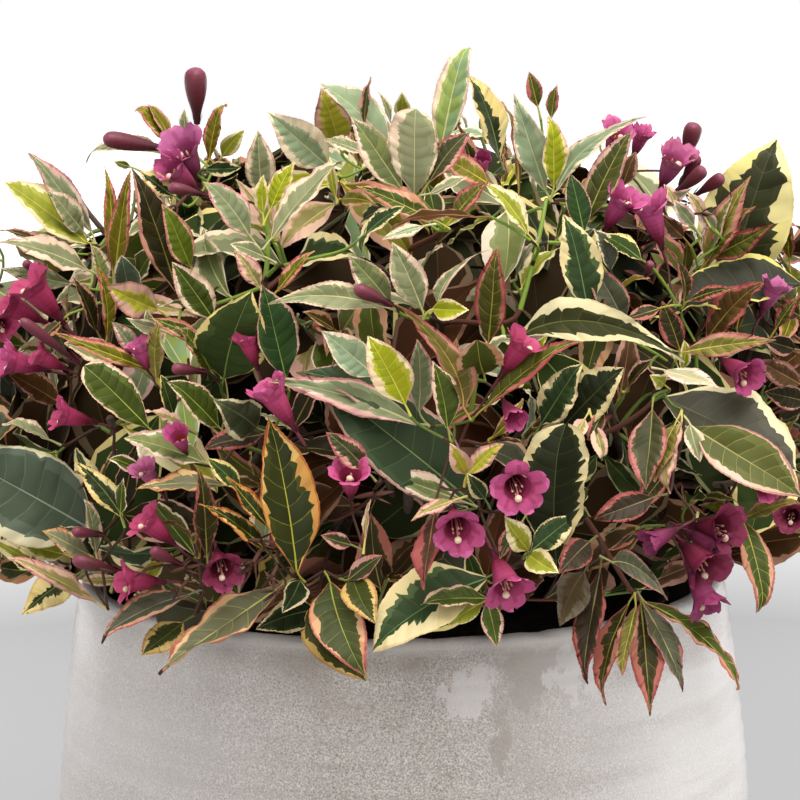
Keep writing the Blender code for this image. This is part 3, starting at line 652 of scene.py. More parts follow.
def flower(group, base, axis, r, size=1.0, hue="m", opened=1.0):
    """A trumpet flower: a slim dark tube that widens to a bell, and five rounded lobes.

    base: where its ovary joins the twig. axis: where it faces.
    """
    pile = blossom(group)
    hexes = LOBE[hue]
    pale, light, middle, deep, dark = (finish(c, 0.55, 0.20, "petal") for c in hexes)
    bell = [finish(blend(hexes[4], hexes[3], 0.5), 0.55, 0.20, "petal"), finish(blend(hexes[3], hexes[2], 0.35), 0.55, 0.20, "petal"),
            finish(blend(hexes[3], hexes[2], 0.7), 0.55, 0.20, "petal")]
    helper = np.array([0, 0, 1.0]) if abs(unit(axis)[2]) < 0.9 else np.array([1.0, 0, 0])
    m = leaf_basis(axis, helper)
    m = m @ about([1, 0, 0], r.uniform(0, math.tau / 5))
    mm = 0.001 * size
    # slender ovary and sepals
    v, q = rings_mesh(np.array([0, 2, 5, 8]) * mm, np.array([0.55, 0.9, 0.95, 0.85]) * mm, 6, m)
    pile.add(v + base, q, OVARY)
    at = np.asarray(base) + m @ np.array([8 * mm, 0, 0])
    sepals(pile, at, m, r, size * 0.9, (SEPAL, OVARY))
    # the tube is a little bowed
    part = min(opened, 1.0)
    wide = (0.80 + 0.20 * part) * mm
    xs = np.array([0, 1.8, 3.8, 6.0, 8.4, 10.8, 13.4, 16, 18.5, 20.4])
    rs = np.array([1.1, 1.3, 1.75, 2.55, 3.5, 4.3, 4.95, 5.5, 5.9, 6.3])
    bow = r.uniform(-1.0, 1.0, 2) * 0.9

    def bowed(v):
        k = (v[:, 0] / mm / 20.4).clip(0, 1.3)
        v = v.copy()
        v[:, 1] += bow[0] * mm * (k * k - k)
        v[:, 2] += bow[1] * mm * (k * k - k)
        return v @ m.T + at

    v, q = rings_mesh(xs * mm, rs * wide, 15, np.eye(3), ribs=0.045, turn=math.tau / 10)
    tone = np.repeat([TUBE_DARK, TUBE_DEEP, TUBE_DEEP, dark, bell[0], deep, bell[1], bell[2], middle], 15)
    # paler stripes run up the bell along its folds: painted highlights
    fold_at = np.arange(15) % 3 == 0
    for row, shade in ((4, deep), (5, bell[1]), (6, bell[2]), (7, middle)):
        tone[row * 15 : row * 15 + 15][fold_at] = shade
    pile.add(bowed(v), q, tone)
    # the inside of the throat, darker ring by ring inwards: partly its own deep colour, partly painted shade; with its
    # warm spot on one side
    v, q = rings_mesh(np.array([20.2, 17.6, 14.4, 11.0, 7.4]) * mm, np.array([6.05, 5.45, 4.7, 3.6, 1.6]) * wide, 15, np.eye(3))
    tone = np.repeat([middle, bell[2], deep, THROAT], 15)
    # a warm blotch on the upper side of the throat
    spot = (np.arange(15) + 0.5) * math.tau / 15
    high = m.T @ np.array([0, 0, 1.0])
    near = np.cos(spot - math.atan2(high[2], high[1])) > 0.62
    if hue in "mpw":
        tone[15:30][near] = THROAT_WARM
        tone[30:45][near] = THROAT_WARM
    pile.add(bowed(v), q, tone)
    # five rounded lobes that overlap at their feet
    nb, na = 8, 6
    b = np.linspace(0, 1, nb + 1)
    b = 0.5 * b + 0.5 * np.sin(b * math.pi / 2)
    c = np.linspace(-1, 1, na + 1)
    shape = np.interp(b, [0, 0.15, 0.35, 0.55, 0.72, 0.86, 0.95, 1.0], [3.95, 4.9, 5.8, 6.15, 5.9, 4.9, 3.4, 1.6])
    whole = r.uniform(0.75, 1.25)
    for k in range(5):
        a0 = math.tau * (k + r.uniform(-0.04, 0.04)) / 5
        length = r.uniform(8.4, 10.4) * mm
        start = r.uniform(0.20, 0.36)
        end = (0.60 + 0.80 * r.uniform(0, 1) + 0.35 * whole) * float(np.clip((opened - 0.42) / 0.58, 0.0, 1.1))
        if opened < 0.6:
            start, end = 0.05, -0.60 + opened
        ang = start + (end - start) * b**0.8
        ds = np.diff(b) * length
        mid_a = (ang[1:] + ang[:-1]) / 2
        rho = np.concatenate([[0], np.cumsum(np.sin(mid_a) * ds)]) + 6.2 * wide
        xx = np.concatenate([[0], np.cumsum(np.cos(mid_a) * ds)]) + 20.2 * mm
        halfw = shape * mm * (0.66 + 0.34 * part) * r.uniform(0.94, 1.08)
        cup = r.uniform(-0.5, 1.0)
        turn = r.normal(0, 0.10)
        tide = r.uniform(0, math.tau)
        frill = r.normal(0, 0.62, (nb + 3, na + 3)) * mm
        frill = (frill[:-1] + frill[1:]) / 2
        frill = (frill[:, :-1] + frill[:, 1:]) / 2
        frill = frill[: nb + 1, : na + 1]
        verts = np.zeros((nb + 1, na + 1, 3))
        for j, cc in enumerate(c):
            w = halfw * cc
            lift = (cup * 1.2 * cc * cc + 0.55 * math.sin(3.4 * cc + tide) * np.sin(3.0 * b + k) + turn * 4 * cc) * mm * b
            sag = (w * w) / (2 * 6.3 * wide) * (1 - b) ** 1.3
            ruffle = frill[:, j] * b**1.5 * (0.35 + 0.65 * cc * cc + 0.5 * (b > 0.9))
            verts[:, j, 0] = xx + lift * np.sin(ang) - 0.25 * mm * (1 - cc * cc) * b + ruffle * np.cos(ang) + 0.8 * ruffle
            rr = rho - lift * np.cos(ang) - sag + ruffle * np.sin(ang)
            verts[:, j, 1] = rr * math.cos(a0) - w * math.sin(a0)
            verts[:, j, 2] = rr * math.sin(a0) + w * math.cos(a0)
        i, j = np.meshgrid(np.arange(nb), np.arange(na), indexing="ij")
        i, j = i.ravel(), j.ravel()
        q = np.stack([i * (na + 1) + j, i * (na + 1) + j + 1, (i + 1) * (na + 1) + j + 1, (i + 1) * (na + 1) + j], 1)
        # the lobes go paler towards their rims, partly their own colour and partly a painted highlight; one half of the
        # middle crease, the side set by the cup, is painted darker: painted shade
        lighter = int(r.integers(-1, 2))
        inner_j = (j == 2) | (j == 3)
        tone = np.where(i < 2 - lighter, middle, np.where(i < 6 - lighter + inner_j, light, pale))
        tone = np.where((i < 5) & inner_j & (i > 0), np.where((j == 2) ^ (cup > 0.2), middle, light), tone)
        tone = np.where(i == 0, bell[2], tone)
        pile.add(bowed(verts.reshape(-1, 3)), q, tone)
    if opened > 0.6:
        low = m.T @ np.array([0, 0, -1.0])
        lean = unit(np.array([0, low[1], low[2]]) + np.array([0, 1e-6, 0]))
        for k in range(5):
            a = math.tau * k / 5 + 0.3
            side = np.array([0, math.cos(a), math.sin(a)])
            p0 = np.array([10.0, 0, 0]) + side * 1.6
            p1 = np.array([r.uniform(18.5, 22.0), 0, 0]) + side * r.uniform(1.6, 2.8) + lean * 1.4
            path = np.array([p0, (p0 + p1) / 2 + side * 0.3, p1]) * mm
            tube(pile, path @ m.T + at, 0.30 * mm, FILAMENT, sides=3, cap=False)
            tip = np.array([p1 - [1.2, 0, 0], p1, p1 + [1.2, 0, 0]]) * mm
            tube(pile, tip @ m.T + at, np.array([0.3, 0.68, 0.3]) * mm, ANTHER, sides=4)
        end = (np.array([23.5, 0, 0]) + lean * 4.8) * mm
        path = bezier(np.array([9.0, 0, 0]) * mm, np.array([16.0, 0, 0]) * mm, np.array([22.0, 0, 0]) * mm + lean * 1.8 * mm, end, 5)
        tube(pile, path @ m.T + at, 0.42 * mm, FILAMENT, sides=4, cap=False)
        ball_r = 1.75 * mm
        x = np.array([-1, -0.8, -0.3, 0.35, 0.85, 1]) * ball_r
        rad = np.sqrt(np.maximum(ball_r**2 - x**2, (0.1 * ball_r) ** 2)) * 1.08
        v, q = rings_mesh(x, rad, 9, m)
        pile.add(v + at + m @ end, q, STIGMA)
    return at


def bud(group, base, axis, length, width, r, young=False, ribs=0.065):
    """A closed bud: a slim tube that swells to a blunt club."""
    pile = blossom(group)
    helper = np.array([0, 0, 1.0]) if abs(unit(axis)[2]) < 0.9 else np.array([1.0, 0, 0])
    m = leaf_basis(axis, helper)
    u = np.array([0, 0.08, 0.17, 0.26, 0.34, 0.43, 0.53, 0.64, 0.75, 0.85, 0.92, 0.965, 0.99, 1.0])
    prof = np.array([0.28, 0.31, 0.38, 0.48, 0.60, 0.74, 0.87, 0.96, 1.0, 0.98, 0.87, 0.66, 0.38, 0.10])
    sway = r.uniform(-0.10, 0.10)
    # five folded lobes show as shallow furrows towards the tip
    sides = 15
    turn = r.uniform(0, 1)
    v, q = rings_mesh(u * length, prof * width / 2, sides, np.eye(3), ribs=ribs, turn=turn)
    v[:, 1] += sway * length * (v[:, 0] / length) ** 2
    tones = ["38151d", "3f1921", "461c25", "4e1f29", "56232d", "5d2631", "632834", "682b37", "6c2e3b", "71313f", "7a3849", "844153", "8b495c"]
    if young:
        tones = ["38191f", "3e1d23", "442229", "4b272e", "502a32", "552d35", "593038", "5d343c", "613840", "653c44", "6a4048", "6e444c", "724850"]
    rows = [finish(c, 0.42, 0.32, "petal") for c in tones]
    pile.add(v @ m.T + base, q, np.repeat(rows, sides))
    sepals(pile, np.asarray(base), m, r, 0.55 + length / 0.06, (SEPAL, OVARY), 0.25)


def husk(group, base, axis, r, size=1.0):
    """What is left of a fallen flower: a dry calyx."""
    m = leaf_basis(axis, np.array([0.1, 0.2, 1.0]))
    pile = blossom(group)
    v, q = rings_mesh(np.array([0, 2, 5, 8]) * 0.001 * size, np.array([0.5, 0.9, 0.9, 0.7]) * 0.001 * size, 5, m)
    pile.add(v + base, q, DRIED)
    sepals(pile, np.asarray(base) + m @ np.array([0.0078 * size, 0, 0]), m, r, size * 1.05, (DRIED, DRIED_DARK), 0.5)


# ------------------------------------------------ sizes shared with the solids
PLANTER_HEIGHT, RIM_RADIUS, BELLY_RADIUS, BELLY_HEIGHT, FOOT_RADIUS = 0.300, 0.168, 0.182, 0.165, 0.122
FOOT_ROUND, WALL, FLOOR = 0.006, 0.013, 0.016
NURSERY_RIM_HEIGHT, NURSERY_RIM_RADIUS, NURSERY_FOOT_RADIUS = 0.290, 0.140, 0.103
NURSERY_WALL, NURSERY_LIP, GAP = 0.0020, 0.0035, 0.0003
SOIL_HEIGHT = 0.278
STUMP_RADIUS, STUMP_FLARE, STUMP_HEIGHT, STUMP_LEAN = 0.0155, 0.0300, 0.024, 0.10
BOUGH_FOOT, BOUGH_TIP, TWIST = 0.0052, 0.0026, 18.0
MASSES = {
    "crown_top": (0, 0.004, 0.466),
    "crown_left": (-98, 0.118, 0.455),
    "crown_right": (97, 0.120, 0.455),
    "crown_front": (2, 0.104, 0.435),
    "crown_back": (178, 0.112, 0.440),
    "shoulder_left": (-88, 0.190, 0.392),
    "shoulder_right": (88, 0.190, 0.392),
    "front_left": (-41, 0.178, 0.374),
    "front_middle": (1, 0.174, 0.360),
    "front_right": (43, 0.178, 0.374),
    "back_left": (-138, 0.176, 0.378),
    "back_middle": (180, 0.172, 0.366),
    "back_right": (138, 0.176, 0.378),
}
MASS_SIZE = {"crown": (0.084, 0.097, 0.083), "shoulder": (0.066, 0.122, 0.106), "front": (0.068, 0.096, 0.094), "back": (0.070, 0.099, 0.097)}


def polar(azimuth, distance, z):
    a = math.radians(azimuth)
    return np.array([distance * math.sin(a), -distance * math.cos(a), z])


def planter_radius(z):
    z = np.asarray(z, float)
    s = np.clip((z - BELLY_HEIGHT) / (PLANTER_HEIGHT - BELLY_HEIGHT), 0, 1)
    high = BELLY_RADIUS - (BELLY_RADIUS - RIM_RADIUS) * s**1.5
    t = np.clip(z / BELLY_HEIGHT, 0, 1)
    low = FOOT_RADIUS + (BELLY_RADIUS - FOOT_RADIUS) * (1.0 - (1.0 - t) ** 2.1) ** 0.95
    return np.where(z >= BELLY_HEIGHT, high, low)


def stump_section(t):
    flare = (STUMP_FLARE - STUMP_RADIUS) * np.exp(-t / 0.16)
    shoulder = STUMP_RADIUS * (1.0 + 0.12 * np.sin(math.pi * t))
    dome = np.where(t < 0.62, 1.0, np.sqrt(np.maximum(0.0, 1.0 - ((t - 0.62) / 0.40) ** 2)))
    return (shoulder + flare) * dome


def stump_centre(t):
    z = SOIL_HEIGHT + GAP + t * STUMP_HEIGHT
    return np.array([STUMP_LEAN * t * STUMP_HEIGHT, -0.3 * STUMP_LEAN * t * STUMP_HEIGHT, z])


def keep_out(points):
    """Nothing that hangs over the rim passes through the planter's wall or the soil."""
    p = np.array(points, float)
    rho = np.hypot(p[:, 0], p[:, 1])
    wall = planter_radius(p[:, 2]) + 0.0012
    low = p[:, 2] < PLANTER_HEIGHT + 0.0012
    outer = low & (rho > RIM_RADIUS - 0.0075) & (rho < wall)
    k = np.where(outer, wall / np.maximum(rho, 1e-6), 1.0)
    p[:, 0] *= k
    p[:, 1] *= k
    over = low & (rho <= RIM_RADIUS - 0.0075) & (rho > RIM_RADIUS - WALL - 0.0012)
    p[:, 2] = np.where(over, PLANTER_HEIGHT + 0.0012, p[:, 2])
    inside = (rho <= RIM_RADIUS - WALL - 0.0012) & (p[:, 2] < NURSERY_RIM_HEIGHT + 0.002)
    p[:, 2] = np.where(inside, NURSERY_RIM_HEIGHT + 0.002, p[:, 2])
    return p


BOX_LOW = np.array(CAD_BOX[0]) - 0.018
BOX_HIGH = np.array(CAD_BOX[1]) + 0.018


def hold_in(points):
    """Clamps whatever would reach out of the solids' box back onto its faces."""
    p = np.asarray(points, float)
    return np.clip(p, BOX_LOW, BOX_HIGH)


# --------------------------------------------------------------- the skeleton
class Skeleton:
    """Points along every limb and twig, which later twigs may branch from."""

    def __init__(self):
        self.pos = np.zeros((0, 3))
        self.dir = np.zeros((0, 3))
        self.rad = np.zeros(0)

    def add(self, path, radii):
        path = np.asarray(path, float)
        d = np.gradient(path, axis=0)
        d /= np.linalg.norm(d, axis=1)[:, None] + 1e-12
        self.pos = np.vstack([self.pos, path])
        self.dir = np.vstack([self.dir, d])
        self.rad = np.concatenate([self.rad, np.broadcast_to(radii, (len(path),))])

    def nearest(self, target, direction, least=0.012, most=0.5):
        v = target - self.pos
        l = np.linalg.norm(v, axis=1)
        h = v / np.maximum(l, 1e-6)[:, None]
        cost = np.maximum(l, least) * (1.0 + 0.75 * (1 - h @ direction) + 0.45 * (1 - np.sum(h * self.dir, 1)))
        # a twig leaves something thicker than itself, and doesn't start outside its target
        cost += 0.5 * np.maximum(0, np.linalg.norm(self.pos[:, :2], axis=1) - np.linalg.norm(target[:2]) - 0.01)
        cost += np.where(l < least, 0.05, 0.0)
        return int(np.argmin(cost))


skeleton = Skeleton()
BARK = Pile("bark")
BARK_MAT = len(FINISHES)
FINISHES.append(None)  # the bark's own material is made below


def group_of(p):
    """The mass that a place belongs to."""
    best, name = 9.0, "crown_top"
    for key, (az, rho, z) in MASSES.items():
        d = np.linalg.norm((np.asarray(p) - polar(az, rho, z)) / 1.0)
        if d < best:
            best, name = d, key
    return name


def limb_path(name):
    az0, dist, z = MASSES[name]
    centre = polar(az0, dist, z)
    flat = np.array([centre[0], centre[1], 0.0])
    rho = np.hypot(*flat[:2])
    azimuth = math.degrees(math.atan2(flat[0], -flat[1]))
    if rho > 0.14:
        t_foot, rise, pull, foot_out = 0.45, 0.38, 0.34, polar(azimuth, 1.0, 0.0)
    else:
        t_foot, rise, pull = 0.80, 1.25, 0.40
        foot_out = polar(azimuth + (TWIST if azimuth >= 0 else -TWIST), 1.0, 0.0)
    if rho > 0.02:
        aim = unit(foot_out + np.array([0, 0, rise]))
        start = stump_centre(t_foot) + foot_out * (stump_section(np.array(t_foot)) * 0.80)
    else:
        aim = np.array([0.0, 0.0, 1.0])
        start = stump_centre(0.90)
    length = np.linalg.norm(centre - start)
    bend = start + aim * length * pull
    back = centre - unit(centre - bend) * length * 0.30
    return bezier(start, bend, back, centre, 30), centre


def knotty(path, radii, r, sides=10):
    """A limb with the bark's relief: low ridges, nodes and shallow fissures."""
    path = np.asarray(path, float)
    n = len(path)
    tangent = np.gradient(path, axis=0)
    tangent /= np.linalg.norm(tangent, axis=1)[:, None] + 1e-12
    ref = np.array([0.0, 0.0, 1.0]) if abs(tangent[0][2]) < 0.9 else np.array([1.0, 0.0, 0.0])
    a = unit(np.cross(tangent[0], ref))
    phi = np.arange(sides) * math.tau / sides
    rings = []
    phase = r.uniform(0, math.tau, 3)
    node_every = r.uniform(0.016, 0.024)
    run = np.concatenate([[0], np.cumsum(np.linalg.norm(np.diff(path, axis=0), axis=1))])
    for k in range(n):
        a = unit(a - tangent[k] * (a @ tangent[k]))
        b = np.cross(tangent[k], a)
        node = math.exp(-(((run[k] % node_every) - node_every / 2) / 0.0022) ** 2)
        relief = 1 + 0.055 * np.sin(3 * phi + phase[0] + run[k] * 60) + 0.05 * np.sin(5 * phi + phase[1] - run[k] * 90)
        relief = relief + 0.13 * node + r.normal(0, 0.022, sides)
        rad = radii[k] * relief
        rings.append(path[k] + (rad * np.cos(phi))[:, None] * a + (rad * np.sin(phi))[:, None] * b)
    verts = np.concatenate(rings)
    i, j = np.meshgrid(np.arange(n - 1), np.arange(sides), indexing="ij")
    i, j = i.ravel(), j.ravel()
    k = (j + 1) % sides
    BARK.add(verts, np.stack([i * sides + j, i * sides + k, (i + 1) * sides + k, (i + 1) * sides + j], 1), BARK_MAT)
    end = path[-1] + tangent[-1] * radii[-1] * 0.8
    tri = np.stack([np.arange(sides), (np.arange(sides) + 1) % sides, np.full(sides, sides)], 1)
    BARK.add(np.vstack([rings[-1], end]), tri, BARK_MAT)


bark_rng = np.random.default_rng(SEED + 1)
for name in MASSES:
    path, centre = limb_path(name)
    radii = BOUGH_FOOT + (BOUGH_TIP - BOUGH_FOOT) * np.linspace(0, 1, 30) ** 0.6
    # the limb runs on into its mass
    kind = name.split("_")[0]
    half = np.array(MASS_SIZE[kind])
    out = unit(np.array([centre[0], centre[1], 0.0])) if name != "crown_top" else np.array([0.0, 0.0, 1.0])
    ahead = unit(path[-1] - path[-3])
    on = bezier(centre, centre + ahead * 0.012, centre + ahead * 0.022 + np.array([0, 0, 0.004]), centre + unit(ahead + [0, 0, 0.5]) * 0.038, 8)
    whole = np.vstack([path, on[1:]])
    whole_r = np.concatenate([radii, np.linspace(BOUGH_TIP, 0.0019, 8)[1:]])
    fine = np.linspace(0, len(whole) - 1, 64)
    whole_f = np.stack([np.interp(fine, np.arange(len(whole)), whole[:, c]) for c in range(3)], 1)
    r_f = np.interp(fine, np.arange(len(whole)), whole_r)
    knotty(whole_f, r_f, bark_rng)
    skeleton.add(whole[8:], whole_r[8:])
    # forks, spread through the mass
    side = np.cross([0, 0, 1.0], out) if name != "crown_top" else np.array([1.0, 0, 0])
    if name == "crown_top":
        out_h = np.array([0, 1.0, 0])
    else:
        out_h = out
    forks = 6 if kind != "shoulder" else 7
    for k in range(forks):
        a = math.tau * (k + bark_rng.uniform(-0.3, 0.3)) / forks
        aim = out_h * math.cos(a) * half[0] * 0.62 + side * math.sin(a) * half[1] * 0.66
        aim = aim + np.array([0, 0, 1.0]) * half[2] * bark_rng.uniform(-0.05, 0.55)
        end = centre + aim
        j = int(len(path) * bark_rng.uniform(0.55, 0.92))
        start = path[j]
        tangent = unit(path[min(j + 1, len(path) - 1)] - path[j - 1])
        l = np.linalg.norm(end - start)
        fork = bezier(start, start + tangent * l * 0.30, end - unit(unit(end - start) + [0, 0, 0.35]) * l * 0.30, end, 14)
        fork = keep_out(fork)
        fr = np.linspace(min(radii[j] * 0.80, 0.0030), 0.0013, 14)
        knotty(fork, fr, bark_rng, sides=7)
        skeleton.add(fork[2:], fr[2:])


def stump_mesh():
    sides, levels = 60, 40
    t = np.linspace(0.0, 1.0, levels) ** 0.9 * 0.985
    phi = np.arange(sides) * math.tau / sides
    rings = []
    for tt in t:
        ridge = 1.0 + 0.20 * np.cos(5 * phi + 0.6) * math.exp(-tt / 0.22) + 0.04 * np.cos(3 * phi)
        rough = np.array([noise.noise(Vector((math.cos(f) * 3.1, math.sin(f) * 3.1, tt * 1.3))) for f in phi])
        fine = np.array([noise.noise(Vector((math.cos(f) * 11, math.sin(f) * 11, tt * 3.0 + 4))) for f in phi])
        rad = stump_section(np.array(tt)) * ridge * (1 + 0.05 * rough + 0.045 * fine)
        c = stump_centre(tt)
        rings.append(np.stack([c[0] + rad * np.cos(phi), c[1] + rad * np.sin(phi), np.full(sides, c[2] - (0.0006 if tt == t[0] else 0))], 1))
    verts = np.concatenate(rings)
    i, j = np.meshgrid(np.arange(levels - 1), np.arange(sides), indexing="ij")
    i, j = i.ravel(), j.ravel()
    k = (j + 1) % sides
    BARK.add(verts, np.stack([i * sides + j, i * sides + k, (i + 1) * sides + k, (i + 1) * sides + j], 1), BARK_MAT)
    top = np.vstack([rings[-1], stump_centre(1.0)])
    tri = np.stack([np.arange(sides), (np.arange(sides) + 1) % sides, np.full(sides, sides)], 1)
    BARK.add(top, tri, BARK_MAT)


stump_mesh()


def grow(target, direction, r_tip, r_base, mat, group=None, sides=5, least=0.012, straight=0.34, remember=True):
    """A twig from the nearest limb or twig to the target, arriving in a direction."""
    target = np.asarray(target, float)
    direction = unit(direction)
    i = skeleton.nearest(target, direction, least)
    start, d0 = skeleton.pos[i], skeleton.dir[i]
    v = target - start
    l = np.linalg.norm(v)
    if l < 0.002:
        return np.array([start, target])
    lead = unit(0.55 * d0 + 0.9 * v / l)
    if start[2] < PLANTER_HEIGHT + 0.02 and np.hypot(*start[:2]) < RIM_RADIUS:
        lead = unit(lead + [0, 0, 0.6])
    n = max(5, min(26, int(l / 0.006) + 3))
    path = bezier(start, start + lead * l * 0.34, target - direction * l * straight, target, n)
    path = keep_out(path)
    path[0], path[-1] = start, target
    root = min(r_base, skeleton.rad[i] * 0.9)
    radii = np.linspace(root, r_tip, n)
    tones = np.full(n - 1, mat)
    older = int((n - 1) * (0.45 if l > 0.05 else 0.2))
    tones[:older] = STEM_BROWN if mat != STEM_GREEN else STEM_RED
    if l > 0.08 or mat == STEM_DARK:
        tones[: older // 2] = STEM_GREY
    tube(twigs(group or group_of(target)), path, radii, tones, sides=sides)
    if remember:
        skeleton.add(path[2:], radii[2:])
    return path


